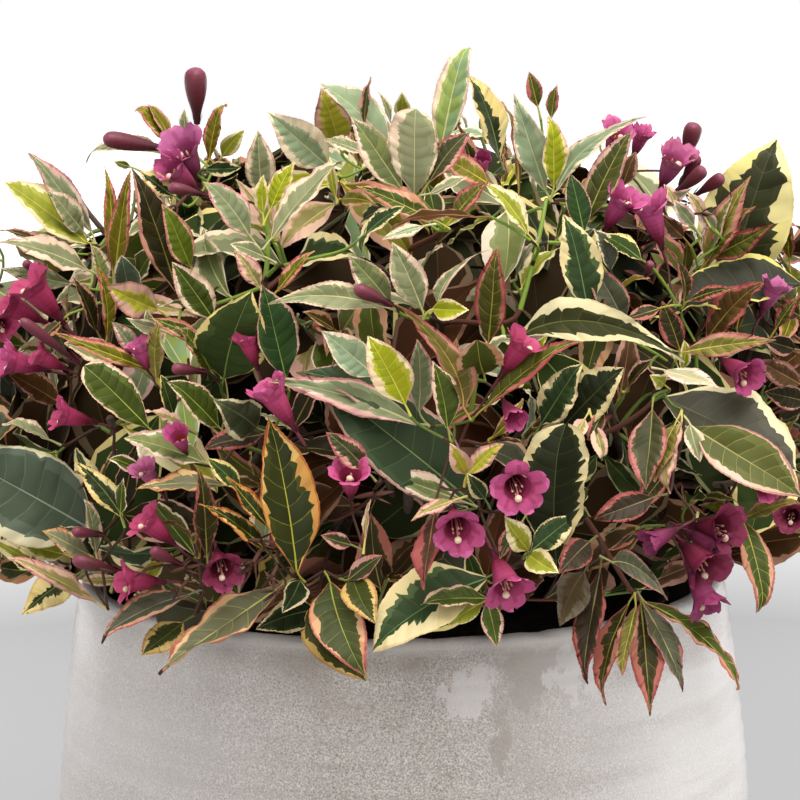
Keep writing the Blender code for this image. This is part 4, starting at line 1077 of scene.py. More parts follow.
# ------------------------------------------------- leaves that can be told apart
# base x,y  tip x,y  width  kind, in the frame's points; then, where it matters:
# v a point that the midrib bends through, z how far forward it stands in mm,
# f form, g how much of the half is green, s slope towards the eye in degrees,
# b bend, t tip curl, a how much wider the margin is on the right of base to tip
LEAVES_SEEN = """
88,243 3,182 32 limegreen g=.74 z=2
92,232 28,153 21 pinkgrey g=.84 z=-3 k=1
84,232 48,191 22 greycream z=-1
88,270 0,243 26 greycream f=lance z=7 g=.62
72,284 0,268 22 pinkgrey f=lance z=-2 g=.8
50,244 0,230 8 coraldark f=lance z=5
113,272 104,166 14 olive f=lance k=1
115,276 131,169 19 olive f=lance z=3 k=1
131,167 114,162 8 forest
177,291 131,167 37 brownblack f=lance z=8 g=.88 k=1
174,196 140,172 17 blackcream g=.5 z=4
191,267 162,204 24 forestsalmon z=12 g=.76 k=1
250,236 203,181 30 pinkgrey z=10 g=.78
170,143 135,111 16 olive t=1
172,140 147,104 10 olive
185,136 185,109 8 greycream
162,153 87,163 17 greycream v=106,148 f=strap g=.84 k=1 t=1.1
104,286 90,244 15 sage z=-4
158,310 107,286 34 limepink f=oval z=9 g=.52
128,292 121,255 27 bluegrey f=oval z=0
122,358 64,343 22 sage z=1
138,354 112,322 17 pinkgrey z=0
162,330 126,318 14 greycream f=lance z=2
150,345 146,310 13 sage z=-3
60,322 40,344 12 coraldark z=-2
800,384 756,360 24 rust z=-8
800,316 768,296 20 coraldark z=-6
796,350 762,340 20 brownblack z=-8
204,342 150,318 17 mossorange f=lance z=10 g=.7
212,372 176,326 20 mossorange z=5
156,380 160,322 18 olivevein z=2
209,160 227,106 16 olive f=lance g=.8 t=1.2
222,157 244,130 18 limegreen
205,169 241,167 15 darkcream
262,195 258,130 30 greycream z=4
263,215 264,175 12 lime z=6
214,320 172,262 34 forest z=9 g=.68 k=1
107,337 93,262 17 olive f=lance z=9 g=.7
97,332 72,277 15 brownblack z=4
153,371 50,332 15 olive f=lance z=6 k=1
148,427 84,366 34 forest f=blunt g=.86 k=1
224,378 252,291 72 blackgreen f=oval z=6 g=.9
219,427 167,382 26 forest z=6
174,415 160,375 16 blackgreen
186,427 145,411 10 salmon z=4
257,428 214,400 42 darkgrey z=6
329,167 268,112 43 mintcream g=.64 k=1 a=.08
339,144 321,88 36 limepink g=.78
389,146 320,84 28 mintcream z=-8 g=.92
364,125 371,77 9 pinkdark f=lance
402,189 351,117 30 sage z=6 g=.84 k=1
364,153 323,141 12 greycream
414,194 416,109 43 greycream f=blunt z=14
402,119 402,92 16 limegreen
391,123 378,92 6 greycream f=lance
441,150 472,49 28 palegreen t=.9 g=.84 k=1
500,159 467,77 22 blackcream g=.55 a=.25
429,182 470,132 22 pinkdark z=9
490,184 437,156 18 olive
529,235 484,185 17 limegreen z=8
438,222 356,186 24 mossorange f=lance z=8 g=.66
271,239 342,162 22 greycream z=6
270,210 295,162 18 lime z=2
364,235 405,207 14 darkcream z=8
452,219 488,182 16 redolive z=10
478,217 392,230 9 umber f=strap g=.9 z=14
424,226 382,240 12 mintcream f=lance z=8 g=.4
429,194 468,178 10 greycream z=12
545,190 514,93 34 mintcream f=lance z=6 g=.84 k=1
554,187 548,117 22 lime z=9 g=.84
557,190 646,117 20 mintcream f=lance v=604,128 z=8 g=.7 k=1
538,107 529,72 15 redolive
551,118 557,85 12 redolive
519,199 502,101 6 redolive f=lance
586,221 633,130 27 darkolive z=4 k=1
622,187 636,152 18 rust
584,232 570,173 23 darkgreen z=6 g=.9 k=1
588,310 563,215 36 darkcream z=10 g=.76 k=1
642,260 600,236 16 blackgreen z=4
727,293 777,140 88 creamblack f=oval z=-2 g=.79 k=1 s=4 a=0
800,284 650,322 60 creamnight f=oval z=-4 g=.95 v=728,286 a=-.04
705,268 751,176 25 olivevein f=lance z=8 g=.6 k=1
705,264 756,206 17 redolive f=lance z=10
704,262 734,196 15 sage f=lance z=6 g=.6
710,258 773,224 25 redolive f=lance z=12 k=1
758,199 774,186 5 redolive f=lance
790,260 792,215 14 olive f=lance
265,257 230,244 16 greycream z=6
260,288 234,250 20 salmon z=8
276,292 315,251 12 olive f=lance
384,307 268,304 26 greycream f=lance z=10 g=.8 k=1 v=326,297
391,304 348,255 28 sage z=8 g=.8
422,309 392,242 35 greycream z=10 k=1 g=.82
438,303 489,250 18 greycream v=452,262 f=lance z=8 g=.66
432,309 469,310 22 lime z=14
464,408 395,305 31 russet v=433,322 f=lance z=18 g=.72
488,343 498,247 28 redolive z=10 g=.74 k=1
484,374 477,340 46 mossorange f=blunt z=16 g=.68
405,404 368,336 42 lime z=26 g=.62 f=oval k=1
376,376 322,331 32 mintcream z=16 g=.84 k=1
417,424 266,382 30 pinkgrey f=lance z=26 g=.74 k=1 v=342,397
419,412 417,339 26 pinkgrey z=18 g=.7 k=1
448,429 432,361 24 forest z=14
286,378 262,284 37 darkgreen z=9 g=.94
471,501 318,388 70 deepgreen f=oval z=-62 g=.95 k=1
424,418 296,372 34 deepgreen f=lance z=-50 g=.88
519,336 685,361 48 archcream v=580,318 f=lance g=.62 z=14 b=.6 k=1 a=-.11
541,424 582,363 36 darkcream z=6
564,426 624,368 44 nightcream f=oval z=9 g=.74
484,408 580,342 20 redolive f=lance z=16
624,324 588,261 32 darkgrey2 z=4
611,271 594,230 16 greydark
684,301 664,246 14 coraldark v=684,267 f=lance z=4
680,350 662,301 24 coraldark z=9 g=.7
660,308 627,320 14 coraldark z=8
688,301 736,289 12 coraldark f=lance z=8
706,340 764,283 30 brownolive z=10
682,352 776,340 20 olivevein f=lance z=12 k=1 g=.7
664,370 719,389 16 under z=14
665,385 650,375 18 limegreen z=10
664,398 800,474 60 slate f=oval g=.84 z=0 a=-.10
694,428 801,497 46 mossveined z=34 g=.84 k=1 f=oval a=.08
775,330 800,295 14 redolive f=lance
92,530 -50,452 94 bluegrey f=oval g=.93 z=3 k=1
80,527 28,529 9 mintcream z=7
90,555 42,531 18 greyorange z=9 g=.8
147,437 141,461 15 under z=6
140,471 108,459 14 forest z=5
65,554 0,535 24 limegreen z=2
97,602 5,556 15 salmon f=lance z=10 g=.4
76,575 22,615 36 blackcream g=.35 z=6
50,440 2,425 14 greycream
122,517 74,461 25 blackcream z=7 g=.66 f=lance
120,513 124,478 12 forest z=8
96,554 84,499 12 greycream z=9
204,462 124,438 27 sage z=8 g=.8
224,485 136,490 20 greyorange f=lance z=9
190,594 101,644 23 darkgrey2 f=lance z=12 g=.8
283,584 157,673 36 greyolive f=lance z=15 t=.1 a=.08
183,622 142,655 27 goldedge z=3 g=.55 f=oval
269,553 198,504 18 orange f=lance z=10
207,556 197,466 22 coraldark f=lance z=8 g=.8 k=1
268,526 226,477 18 orange z=12 f=lance
297,572 268,417 50 orange f=ovate z=8 b=.25 g=.72 k=1 a=.10
263,434 204,450 22 coralslate z=6
241,489 207,458 18 blackgreen z=8
330,582 366,677 52 darkorange z=15 g=.80 b=.5 a=-.08
312,602 366,681 54 goldedge f=oval z=6 g=.7
316,610 256,629 34 night z=0
300,580 282,613 24 night z=1
352,576 376,624 34 goldedge z=4 g=.6
367,471 326,432 26 pinkdark z=12
462,501 371,472 25 sage f=lance z=26 g=.55 k=1
467,475 450,443 20 limepink z=18
467,475 504,444 18 limepink z=18
485,499 467,473 18 darkcream z=12
434,513 424,590 26 redpink z=20 g=.62
455,500 411,521 12 salmon f=lance z=18
365,540 371,499 6 salmon f=lance z=14
352,545 321,535 16 pinkdark z=12
348,580 382,555 18 pinkdark z=14
486,578 372,652 58 darkcream f=oval g=.62 z=12 a=-.12
488,598 421,605 19 forest z=16 g=.86
483,602 448,626 18 limegreen z=18 g=.8
487,602 497,647 22 forest z=20
556,561 566,424 62 nightcream f=blunt g=.82 z=15 b=.2 s=8
531,551 577,515 27 darkcream z=30 g=.8
529,551 504,516 26 limegreen z=18
527,553 559,574 26 limegreen z=20
523,520 500,560 16 pinkdark z=16
590,541 558,574 30 coralslate z=20 g=.82
652,410 646,490 34 pinkdark z=16 g=.7
675,424 655,482 22 olivevein z=20 g=.84
682,420 670,494 18 salmon z=18 g=.5
666,472 636,511 22 coraldark z=16 g=.7
654,497 594,520 27 coralslate z=16 g=.76
690,424 700,462 18 greycream z=20 g=.7
612,562 668,600 29 pinkslate v=650,566 z=22 g=.8
600,570 588,684 24 coralslate f=lance z=15 g=.8
628,604 606,706 22 coraldark f=lance z=18 g=.55 b=.2
636,606 622,676 15 olivevein f=strap z=22 g=.86
641,604 650,716 34 coraldark f=lance z=20 g=.6
643,603 682,692 23 pinkslate f=lance z=22 g=.8
645,602 738,690 17 mossorange f=strap z=20 g=.7 v=700,640 b=.3
743,519 756,612 26 mossorange z=14 g=.74 k=1 t=1.1
740,520 802,503 15 olivevein f=lance z=10
584,572 560,626 36 tan z=9 g=.55
585,418 576,442 15 salmon z=14 t=1.6 g=.3
604,410 590,440 14 coraldark z=12 t=1.2
594,424 602,454 15 salmon z=16 t=1.8 g=.3
812,374 770,352 26 rust z=-14
808,402 764,392 24 brownblack z=-12
802,350 772,374 20 umber z=-16
676,205 664,184 11 salmon z=12
694,226 674,200 16 pinkgrey z=12
704,216 688,192 13 salmon z=14
660,204 692,188 13 pinkgrey f=lance z=12
684,238 660,214 18 rust z=6
716,230 696,206 15 pinkgrey z=10
62,404 8,374 24 umber z=-10
"""

# face x,y  width  base x,y or -  hue  z in mm, then o how open, d a direction the
# flower faces, as x,y in the frame
FLOWERS_SEEN = """
184,150 52 204,192 v 8 o=.8
174,170 42 206,196 m 6 o=.7
617,134 40 604,168 m 3 o=.9
641,136 24 630,166 m 0 o=.7
674,160 44 656,198 p 8 o=.72
622,201 46 598,242 m 8 o=.8
650,210 50 667,264 m 12 o=.85
34,288 54 76,338 c 12 o=.85
12,306 46 62,330 c 6 o=.9
2,324 36 - c 0
12,361 44 76,377 r 8 o=.8
42,357 30 84,378 c 3 o=.7
64,415 40 108,426 c 10 o=.85
140,349 26 156,384 m 0 o=.65
248,342 30 262,382 c 14 o=.75
272,394 46 316,462 r 20 o=.62
146,471 28 166,500 p 8 o=.8
178,437 18 190,460 m 15 o=.6
148,522 46 206,572 c 16 o=1.0
129,581 46 186,582 c 16 o=.95
222,569 46 214,540 k 18 o=.9
350,474 46 352,512 r 14 o=.9
521,346 46 484,400 c 22 o=.85
513,416 28 498,392 r 8 o=.6
518,488 57 506,468 w 36 o=1.05
458,530 56 450,500 w 30 o=1.0
655,540 32 694,520 d 18 o=.6
722,528 52 680,526 k 14 o=.85
706,566 54 670,530 k 22 o=.9
706,600 48 674,540 d 26 o=.8
714,548 42 674,524 d 12 o=.8
744,374 42 712,352 w 12 o=.72
774,289 34 752,332 v 16 o=.7
765,489 24 750,470 r 14 o=.6
791,516 32 - k 6 o=.9
482,162 16 480,186 m -2 o=.5
508,586 56 486,538 w 28 o=.95
"""

# head x,y  neck x,y  width  z in mm
BUDS_SEEN = """
195,68 197,124 22 2
170,187 206,195 12 12
172,368 206,372 12 10
652,262 645,276 9 4
102,138 172,150 17 2
694,122 685,162 18 6
700,155 680,186 13 6
706,168 676,194 14 8
724,176 694,196 13 6
20,319 79,363 11 6
356,288 393,305 14 12
72,531 103,535 11 10
74,560 120,571 14 12
150,549 181,565 12 14
24,262 42,276 9 2
731,560 716,575 12 10
"""

HUSKS_SEEN = """
263,558 1.0
158,566 0.9
172,572 1.0
190,578 0.9
207,584 1.0
248,540 1.0
262,548 1.1
277,566 1.0
285,585 0.9
186,196 1.1
697,204 0.8
690,214 0.8
112,572 0.9
680,556 1.0
605,300 0.9
356,497 1.2
"""

# stems that show between the leaves, from the old end to the tip, and how far in
STEMS_SEEN = """
265,281 268,239 264,200 : 4 young
520,310 536,250 546,200 : 0 young
465,474 422,423 402,396 : 2 young
470,414 474,392 478,366 : 4 young
594,530 621,575 638,600 : 12 red
602,434 630,420 652,402 : 0 red
439,221 428,208 418,196 : 2 young
"""

ENV_CENTRE = np.array([0.0, 0.0, 0.360])
ENV_HALF = np.array([0.247, 0.232, 0.207])


def env_depth(px, py, out=0.0):
    """How far along the sight line the crown's surface stands, or its nearest miss."""
    d = sight(px, py)
    half = ENV_HALF + out
    o = (EYE - ENV_CENTRE) / half
    q = d / half
    a, b, c = q @ q, 2 * (o @ q), o @ o - 1
    disc = b * b - 4 * a * c
    t = -b / (2 * a) if disc <= 0 else (-b - math.sqrt(disc)) / (2 * a)
    return t, disc > 0


def at_depth(px, py, t):
    return EYE + sight(px, py) * t


FORM_RATIO = {"ovate": 0.45, "oval": 0.54, "lance": 0.32, "strap": 0.28, "blunt": 0.54}


def parse(line):
    parts = line.split()
    opts = {}
    plain = []
    for p in parts:
        if "=" in p:
            k, v = p.split("=")
            opts[k] = v
        else:
            plain.append(p)
    return plain, opts


def xy(text):
    a, b = text.split(",")
    return float(a), float(b)


table_rng = np.random.default_rng(SEED + 2)
seen = []
for line in LEAVES_SEEN.strip().splitlines():
    plain, opts = parse(line)
    (bx, by), (tx, ty), w, kind = xy(plain[0]), xy(plain[1]), float(plain[2]), plain[3]
    form = opts.get("f", "ovate")
    out = float(opts.get("z", 0)) / 1000.0
    mx, my = (bx + tx) / 2, (by + ty) / 2
    depth, hit = env_depth(mx, my, out)
    scale = depth / FOCAL
    seen_l = math.hypot(tx - bx, ty - by) * scale
    seen_w = w * scale
    ratio = FORM_RATIO[form] * table_rng.uniform(0.92, 1.1)
    quotient = seen_w / seen_l
    if quotient > ratio:
        true_l = min(seen_w / ratio, seen_l * 2.4)
        slope = math.acos(min(1.0, seen_l / true_l))
        roll = 0.0
        true_w = seen_w
    else:
        top = my < 210
        slope = math.radians(table_rng.uniform(-14, 14) if top else table_rng.uniform(4, 26))
        true_l = seen_l / math.cos(slope)
        true_w = min(true_l * ratio, seen_w * (1.25 if "k" in opts else 1.7))
        roll = math.acos(min(1.0, seen_w / max(true_w * 0.97, 1e-6))) * (0.6 if "k" in opts else 0.9)
    if "s" in opts:
        slope = math.radians(float(opts["s"]))
    seen.append(
        dict(b=(bx, by), t=(tx, ty), w=true_w, kind=kind, form=form, depth=depth, rise=math.sin(slope) * true_l,
             roll=roll, opts=opts, seen_l=seen_l, px=w, out=out)
    )

# leaves that leave the stem at one place in the frame share a node
nodes_seen = []
for k, s in enumerate(seen):
    s["bd"] = s["depth"] + s["rise"] / 2
    for n in nodes_seen:
        if math.hypot(n["b"][0] - s["b"][0], n["b"][1] - s["b"][1]) < 13:
            n["of"].append(k)
            break
    else:
        nodes_seen.append({"b": s["b"], "of": [k]})
for n in nodes_seen:
    mean = sum(seen[k]["bd"] for k in n["of"]) / len(n["of"])
    for k in n["of"]:
        shift = mean - seen[k]["bd"]
        seen[k]["bd"] += shift * 0.85
        seen[k]["depth"] += shift * 0.45

TABLE_TIPS = []
for n in nodes_seen:
    axes, bases = [], []
    for k in n["of"]:
        s = seen[k]
        base = at_depth(*s["b"], s["bd"])
        tip_depth = s["bd"] - s["rise"]
        tip = hold_in(at_depth(*s["t"], tip_depth)[None])[0]
        s["base"], s["tip"] = base, tip
        axes.append(unit(tip - base))
        bases.append(base)
    axis = unit(sum(axes) + np.array([0, 0, 0.15]))
    centre = sum(bases) / len(bases) - axis * 0.006
    n["axis"], n["node"] = axis, centre


def seen_stem(line):
    route, rest = line.split(":")
    depth_in, tone = rest.split()
    pts = [xy(p) for p in route.split()]
    path = []
    for k, (px, py) in enumerate(pts):
        t, _ = env_depth(px, py, float(depth_in) / 1000)
        path.append(at_depth(px, py, t + 0.012 + 0.010 * (len(pts) - 1 - k)))
    a, b, c = path[0], path[1], path[-1]
    fine = np.array([a * (1 - t) ** 2 + (2 * b - (a + c) / 2) * 2 * t * (1 - t) + c * t * t for t in np.linspace(0, 1, 12)])
    mat = {"young": STEM_YOUNG, "red": STEM_RED, "green": STEM_GREEN}[tone]
    grow(fine[0], fine[1] - fine[0], 0.0013, 0.0017, STEM_RED)
    tube(twigs(group_of(fine[5])), fine, np.linspace(0.00125, 0.00095, 12), mat, sides=7)
    skeleton.add(fine, np.linspace(0.00125, 0.00095, 12))


for line in STEMS_SEEN.strip().splitlines():
    seen_stem(line)

order = sorted(nodes_seen, key=lambda n: np.linalg.norm((n["node"] - ENV_CENTRE) / ENV_HALF))
for n in order:
    young = n["node"][2] > 0.43
    away = -sight(*n["b"])
    arrive = unit(0.45 * n["axis"] + 0.75 * away + np.array([0, 0, 0.12]))
    low = n["node"][2] < 0.40
    grow(n["node"], arrive, 0.0007, 0.0012, STEM_YOUNG if young else (STEM_DARK if low else STEM_GREEN), sides=6, least=0.004)

for n in nodes_seen:
    for k in n["of"]:
        s = seen[k]
        base, tip, opts = s["base"], s["tip"], s["opts"]
        d = unit(tip - base)
        eye = -sight(*s["t"])
        normal = unit(eye - d * (eye @ d))
        # rolled about its midrib, the upper face to the sky
        first, second = about(d, s["roll"]) @ normal, about(d, -s["roll"]) @ normal
        normal = first if first[2] > second[2] else second
        length = np.linalg.norm(tip - base)
        size = length / 0.06
        group = group_of((base + tip) / 2)
        r = np.random.default_rng(int(1000 * abs(s["b"][0]) + 7 * abs(s["t"][1])) + k)
        side = 0.0
        if "v" in opts:
            vx, vy = xy(opts["v"])
            (bx, by), (tx, ty) = s["b"], s["t"]
            dx, dy = tx - bx, ty - by
            l = math.hypot(dx, dy)
            off = ((vx - (bx + tx) / 2) * dy - (vy - (by + ty) / 2) * dx) / l
            side = float(np.clip(-4 * off / l, -1.1, 1.1))
        else:
            side = r.normal(0, 0.09)
        grain = 0 if (s["seen_l"] > 0.018 and s["px"] > 11) else 1
        stiff = "k" in opts
        if stiff and "v" not in opts:
            side *= 0.4
        shape = dict(
            form=s["form"],
            fold=r.uniform(0.20, 0.36),
            bend=float(opts.get("b", r.uniform(0.10, 0.32) if stiff else r.uniform(0.15, 0.55))),
            tip=float(opts.get("t", r.uniform(0.05, 0.40))),
            twist=r.normal(0, 0.05 if stiff else 0.15),
            wave=r.uniform(0.35, 0.7) if stiff else r.uniform(0.4, 1.2),
            side=side,
        )
        if "g" in opts:
            shape["green"] = float(opts["g"])
        if "a" in opts:
            shape["uneven"] = float(opts["a"])
        if s["t"][1] > 560 and s["form"] == "lance":
            shape["dry"] = r.uniform(0.06, 0.14)
        width = s["w"] * (0.97 if stiff else 1.0)
        before = pile_for(group)
        fit_leaf(group, base, tip, normal, width, s["kind"], r, grain, **shape)
        before.verts[-1][:] = hold_in(keep_out(before.verts[-1]))
        TABLE_TIPS.append((base + tip) / 2)
        # its stalk
        stalk = bezier(n["node"], n["node"] + n["axis"] * 0.002, base - d * 0.002, base + d * 0.0012, 5)
        tube(twigs(group), stalk, np.array([0.0007, 0.0006, 0.0005, 0.00045, 0.0004]), TINTS[s["kind"]].rib, sides=5, cap=False)

for line in FLOWERS_SEEN.strip().splitlines():
    plain, opts = parse(line)
    fx, fy = xy(plain[0])
    w, hue, out = float(plain[1]), plain[3], float(plain[4]) / 1000
    opened = float(opts.get("o", 1.0))
    depth, _ = env_depth(fx, fy, out)
    scale = depth / FOCAL
    r = np.random.default_rng(int(fx * 13 + fy * 7))
    size = float(np.clip(w * scale / 0.027 / (0.45 + 0.55 * min(opened, 1.0)), 0.62, 1.20))
    reach = 0.030 * size
    face = at_depth(fx, fy, depth)
    if plain[2] != "-":
        bx, by = xy(plain[2])
        across = (RIGHT * (fx - bx) - UP * (fy - by)) * scale
        l = np.linalg.norm(across)
        toward = math.sqrt(max(0.0, reach**2 - l * l)) if l < reach else 0.0
        axis = unit(across - sight(fx, fy) * max(toward, 0.35 * l))
    else:
        dx, dy = xy(opts["d"]) if "d" in opts else (r.uniform(-0.3, 0.3), r.uniform(0.0, 0.35))
        axis = unit(-sight(fx, fy) + RIGHT * dx - UP * dy)
    base = face - axis * reach
    group = group_of(base)
    flower(group, base, axis, r, size, hue, opened)
    grow(base, unit(axis - 0.5 * sight(fx, fy)), 0.0006, 0.0009, STEM_DARK, group, least=0.004)

for line in BUDS_SEEN.strip().splitlines():
    plain, _ = parse(line)
    (hx, hy), (nx, ny), w, out = xy(plain[0]), xy(plain[1]), float(plain[2]), float(plain[3]) / 1000
    depth, _ = env_depth((hx + nx) / 2, (hy + ny) / 2, out)
    head, neck = at_depth(hx, hy, depth - 0.003), at_depth(nx, ny, depth + 0.004)
    head = hold_in(head[None])[0]
    axis = head - neck
    r = np.random.default_rng(int(hx * 3 + hy))
    group = group_of(neck)
    bud(group, neck, axis, np.linalg.norm(axis), w * depth / FOCAL, r)
    grow(neck, unit(unit(axis) - 0.4 * sight(nx, ny)), 0.0006, 0.0009, STEM_DARK, group, least=0.004)

for line in HUSKS_SEEN.strip().splitlines():
    plain, _ = parse(line)
    hx, hy = xy(plain[0])
    depth, _ = env_depth(hx, hy, 0.012)
    r = np.random.default_rng(int(hx * 5 + hy))
    p = at_depth(hx, hy, depth)
    axis = unit(-sight(hx, hy) * 0.6 + RIGHT * r.uniform(-1, 1) - UP * r.uniform(-0.3, 0.9))
    husk(group_of(p), p, axis, r, float(plain[1]))
    grow(p, axis, 0.0005, 0.0008, STEM_BROWN, group_of(p), least=0.004)


# ------------------------------------------------ shoots by the branching rule
masses = [n for n in NODES if n.startswith(("foliage_", "overhang_"))]
all_v, all_f, shift = [], [], 0
for n in masses:
    me = NODES[n].data
    co = np.zeros(len(me.vertices) * 3)
    me.vertices.foreach_get("co", co)
    all_v += [tuple(c) for c in co.reshape(-1, 3)]
    all_f += [[v + shift for v in p.vertices] for p in me.polygons]
    shift += len(me.vertices)
crown = BVHTree.FromPolygons(all_v, all_f)
centre = Vector((0.0, 0.0, 0.385))

grow_rng = np.random.default_rng(SEED + 3)
candidates = []
for _ in range(9000):
    z = grow_rng.uniform(-0.42, 1.0)
    a = grow_rng.uniform(0, math.tau)
    s = math.sqrt(1 - z * z)
    d = Vector((s * math.cos(a), s * math.sin(a), z))
    hit = crown.ray_cast(centre + d * 0.6, -d, 0.6)
    if hit[0] is None or hit[0].z < 0.262:
        continue
    p, n = np.array(hit[0]), np.array(hit[1])
    if np.hypot(p[0], p[1]) < 0.15 and p[2] < 0.33:
        continue
    candidates.append((p, n, np.array(d)))

SPACING = 0.036
targets = []
placed = np.zeros((0, 3))
for p, n, d in candidates:
    if len(placed) and np.min(np.linalg.norm(placed - p, axis=1)) < SPACING:
        continue
    placed = np.vstack([placed, p])
    targets.append((p, n, d))

KINDS = {
    "top": "greycream:24 mintcream:13 palegreen:10 lime:8 limegreen:6 olive:12 forest:11 darkcream:10 pinkdark:9 forestsalmon:7 redolive:5",
    "middle": "darkcream:15 greycream:16 forest:9 darkgreen:6 redolive:9 brownblack:6 limegreen:8 lime:7 blackcream:7 darkorange:5 coraldark:7 palegreen:8 sage:6",
    "left": "greycream:22 sage:14 pinkgrey:13 palegreen:9 olive:9 lime:7 limegreen:5 mossorange:7 forestsalmon:6 forest:4 darkcream:5 coraldark:6 salmon:10",
    "centre": "greycream:22 mintcream:10 sage:13 palegreen:10 lime:8 limegreen:8 olive:8 forest:8 darkcream:8 mossorange:5 redolive:8",
    "right": "redolive:13 coraldark:20 brownblack:12 coralslate:16 redpink:8 olive:3 bronze:7 blackgreen:3 nightcream:2 rust:14 umber:12",
    # deep: near-black kinds for leaves shown low in the middle of the frame, under the crown's front: painted shade
    "deep": "brownblack:16 umber:10 rust:5 bronze:5 blackgreen:14 coraldark:8 dusk:14 rustdark:14 night:8 redolive:3 darkgrey2:2 shade:12",
    "low": "darkorange:14 greyolive:5 blackcream:5 goldedge:7 brownblack:12 nightcream:4 forest:6 limegreen:3 bronze:10 coraldark:9 darkgrey2:4 rust:11 umber:12",
    "young": "olive:18 redolive:20 lime:12 limegreen:8 salmon:10 greycream:8 pinkgrey:6 bronze:10 mossorange:8",
}
KINDS = {k: (lambda w: ([a for a, _ in w], np.array([float(b) for _, b in w]) / sum(float(b) for _, b in w)))([x.split(":") for x in v.split()]) for k, v in KINDS.items()}


def kind_at(p, r, pair):
    px, py, _ = in_view(p)
    seen = p[1] < 0.02 and -20 < px < 820
    # low in the middle of the frame, under the crown's front, leaves get the deep kinds: painted shade
    deep = seen and 285 < px < 715 and py > 425
    if pair == 0 and not deep and r.random() < 0.62:
        names, weights = KINDS["young"]
    else:
        across = p[0]
        if deep:
            key = "deep"
        elif seen and 190 < py < 420 and px < 540:
            key = "left" if px < 310 else "centre"
        elif p[2] > 0.485:
            key = "top"
        elif across > 0.085:
            key = "right"
        elif p[2] < 0.37 or (across < -0.10 and p[2] < 0.42):
            key = "low" if across < 0.03 else "right"
        else:
            key = "middle"
        if r.random() < 0.2 and not deep and key not in ("left", "centre"):
            key = "middle"
        names, weights = KINDS[key]
    return names[r.choice(len(names), p=weights)]


def in_front(p):
    """Whether a place stands where the frame shows the crown's near side, and how
    far it stands in front of (positive) the surface that the told-apart leaves follow."""
    px, py, depth = in_view(p)
    if not (-30 < px < 830 and 20 < py < 760) or p[1] > 0.03:
        return False, 0.0
    t, hit = env_depth(px, py, 0.0)
    if not hit:
        return False, 0.0
    return True, t - np.linalg.norm(p - EYE)


# the crown's outline in the frame: how high and how low shoots may show at each x
TOP_LINE = np.array([-200, 220, 0, 226, 25, 222, 60, 226, 92, 226, 118, 222, 130, 182, 150, 158, 185, 132, 230, 134, 262, 136, 282, 122, 320, 100,
                     360, 98, 400, 104, 430, 118, 452, 104, 475, 96, 500, 108, 520, 100, 540, 106, 560, 130, 600, 136, 622, 128,
                     650, 170, 690, 196, 720, 214, 750, 190, 780, 172, 790, 190, 1000, 200], float).reshape(-1, 2)
LOW_LINE = np.array([-200, 560, 0, 586, 30, 598, 72, 596, 100, 618, 150, 640, 200, 632, 250, 622, 300, 640, 330, 650, 365, 648, 400, 640,
                     450, 628, 500, 622, 550, 612, 590, 618, 640, 606, 690, 580, 728, 572, 742, 566, 760, 560, 800, 552, 1000, 540], float).reshape(-1, 2)


def outside_line(p, margin=6.0):
    """Whether a place would show outside the crown's outline in the frame."""
    px, py, _ = in_view(p)
    return py < np.interp(px, TOP_LINE[:, 0], TOP_LINE[:, 1]) + margin or py > np.interp(px, LOW_LINE[:, 0], LOW_LINE[:, 1]) - margin


SHOOT = [
    # distance back from the tip, leaf length, spread from the axis in degrees
    (0.000, 0.020, 22),
    (0.007, 0.036, 38),
    (0.017, 0.050, 52),
    (0.030, 0.060, 64),
    (0.046, 0.066, 74),
    (0.064, 0.062, 82),
]


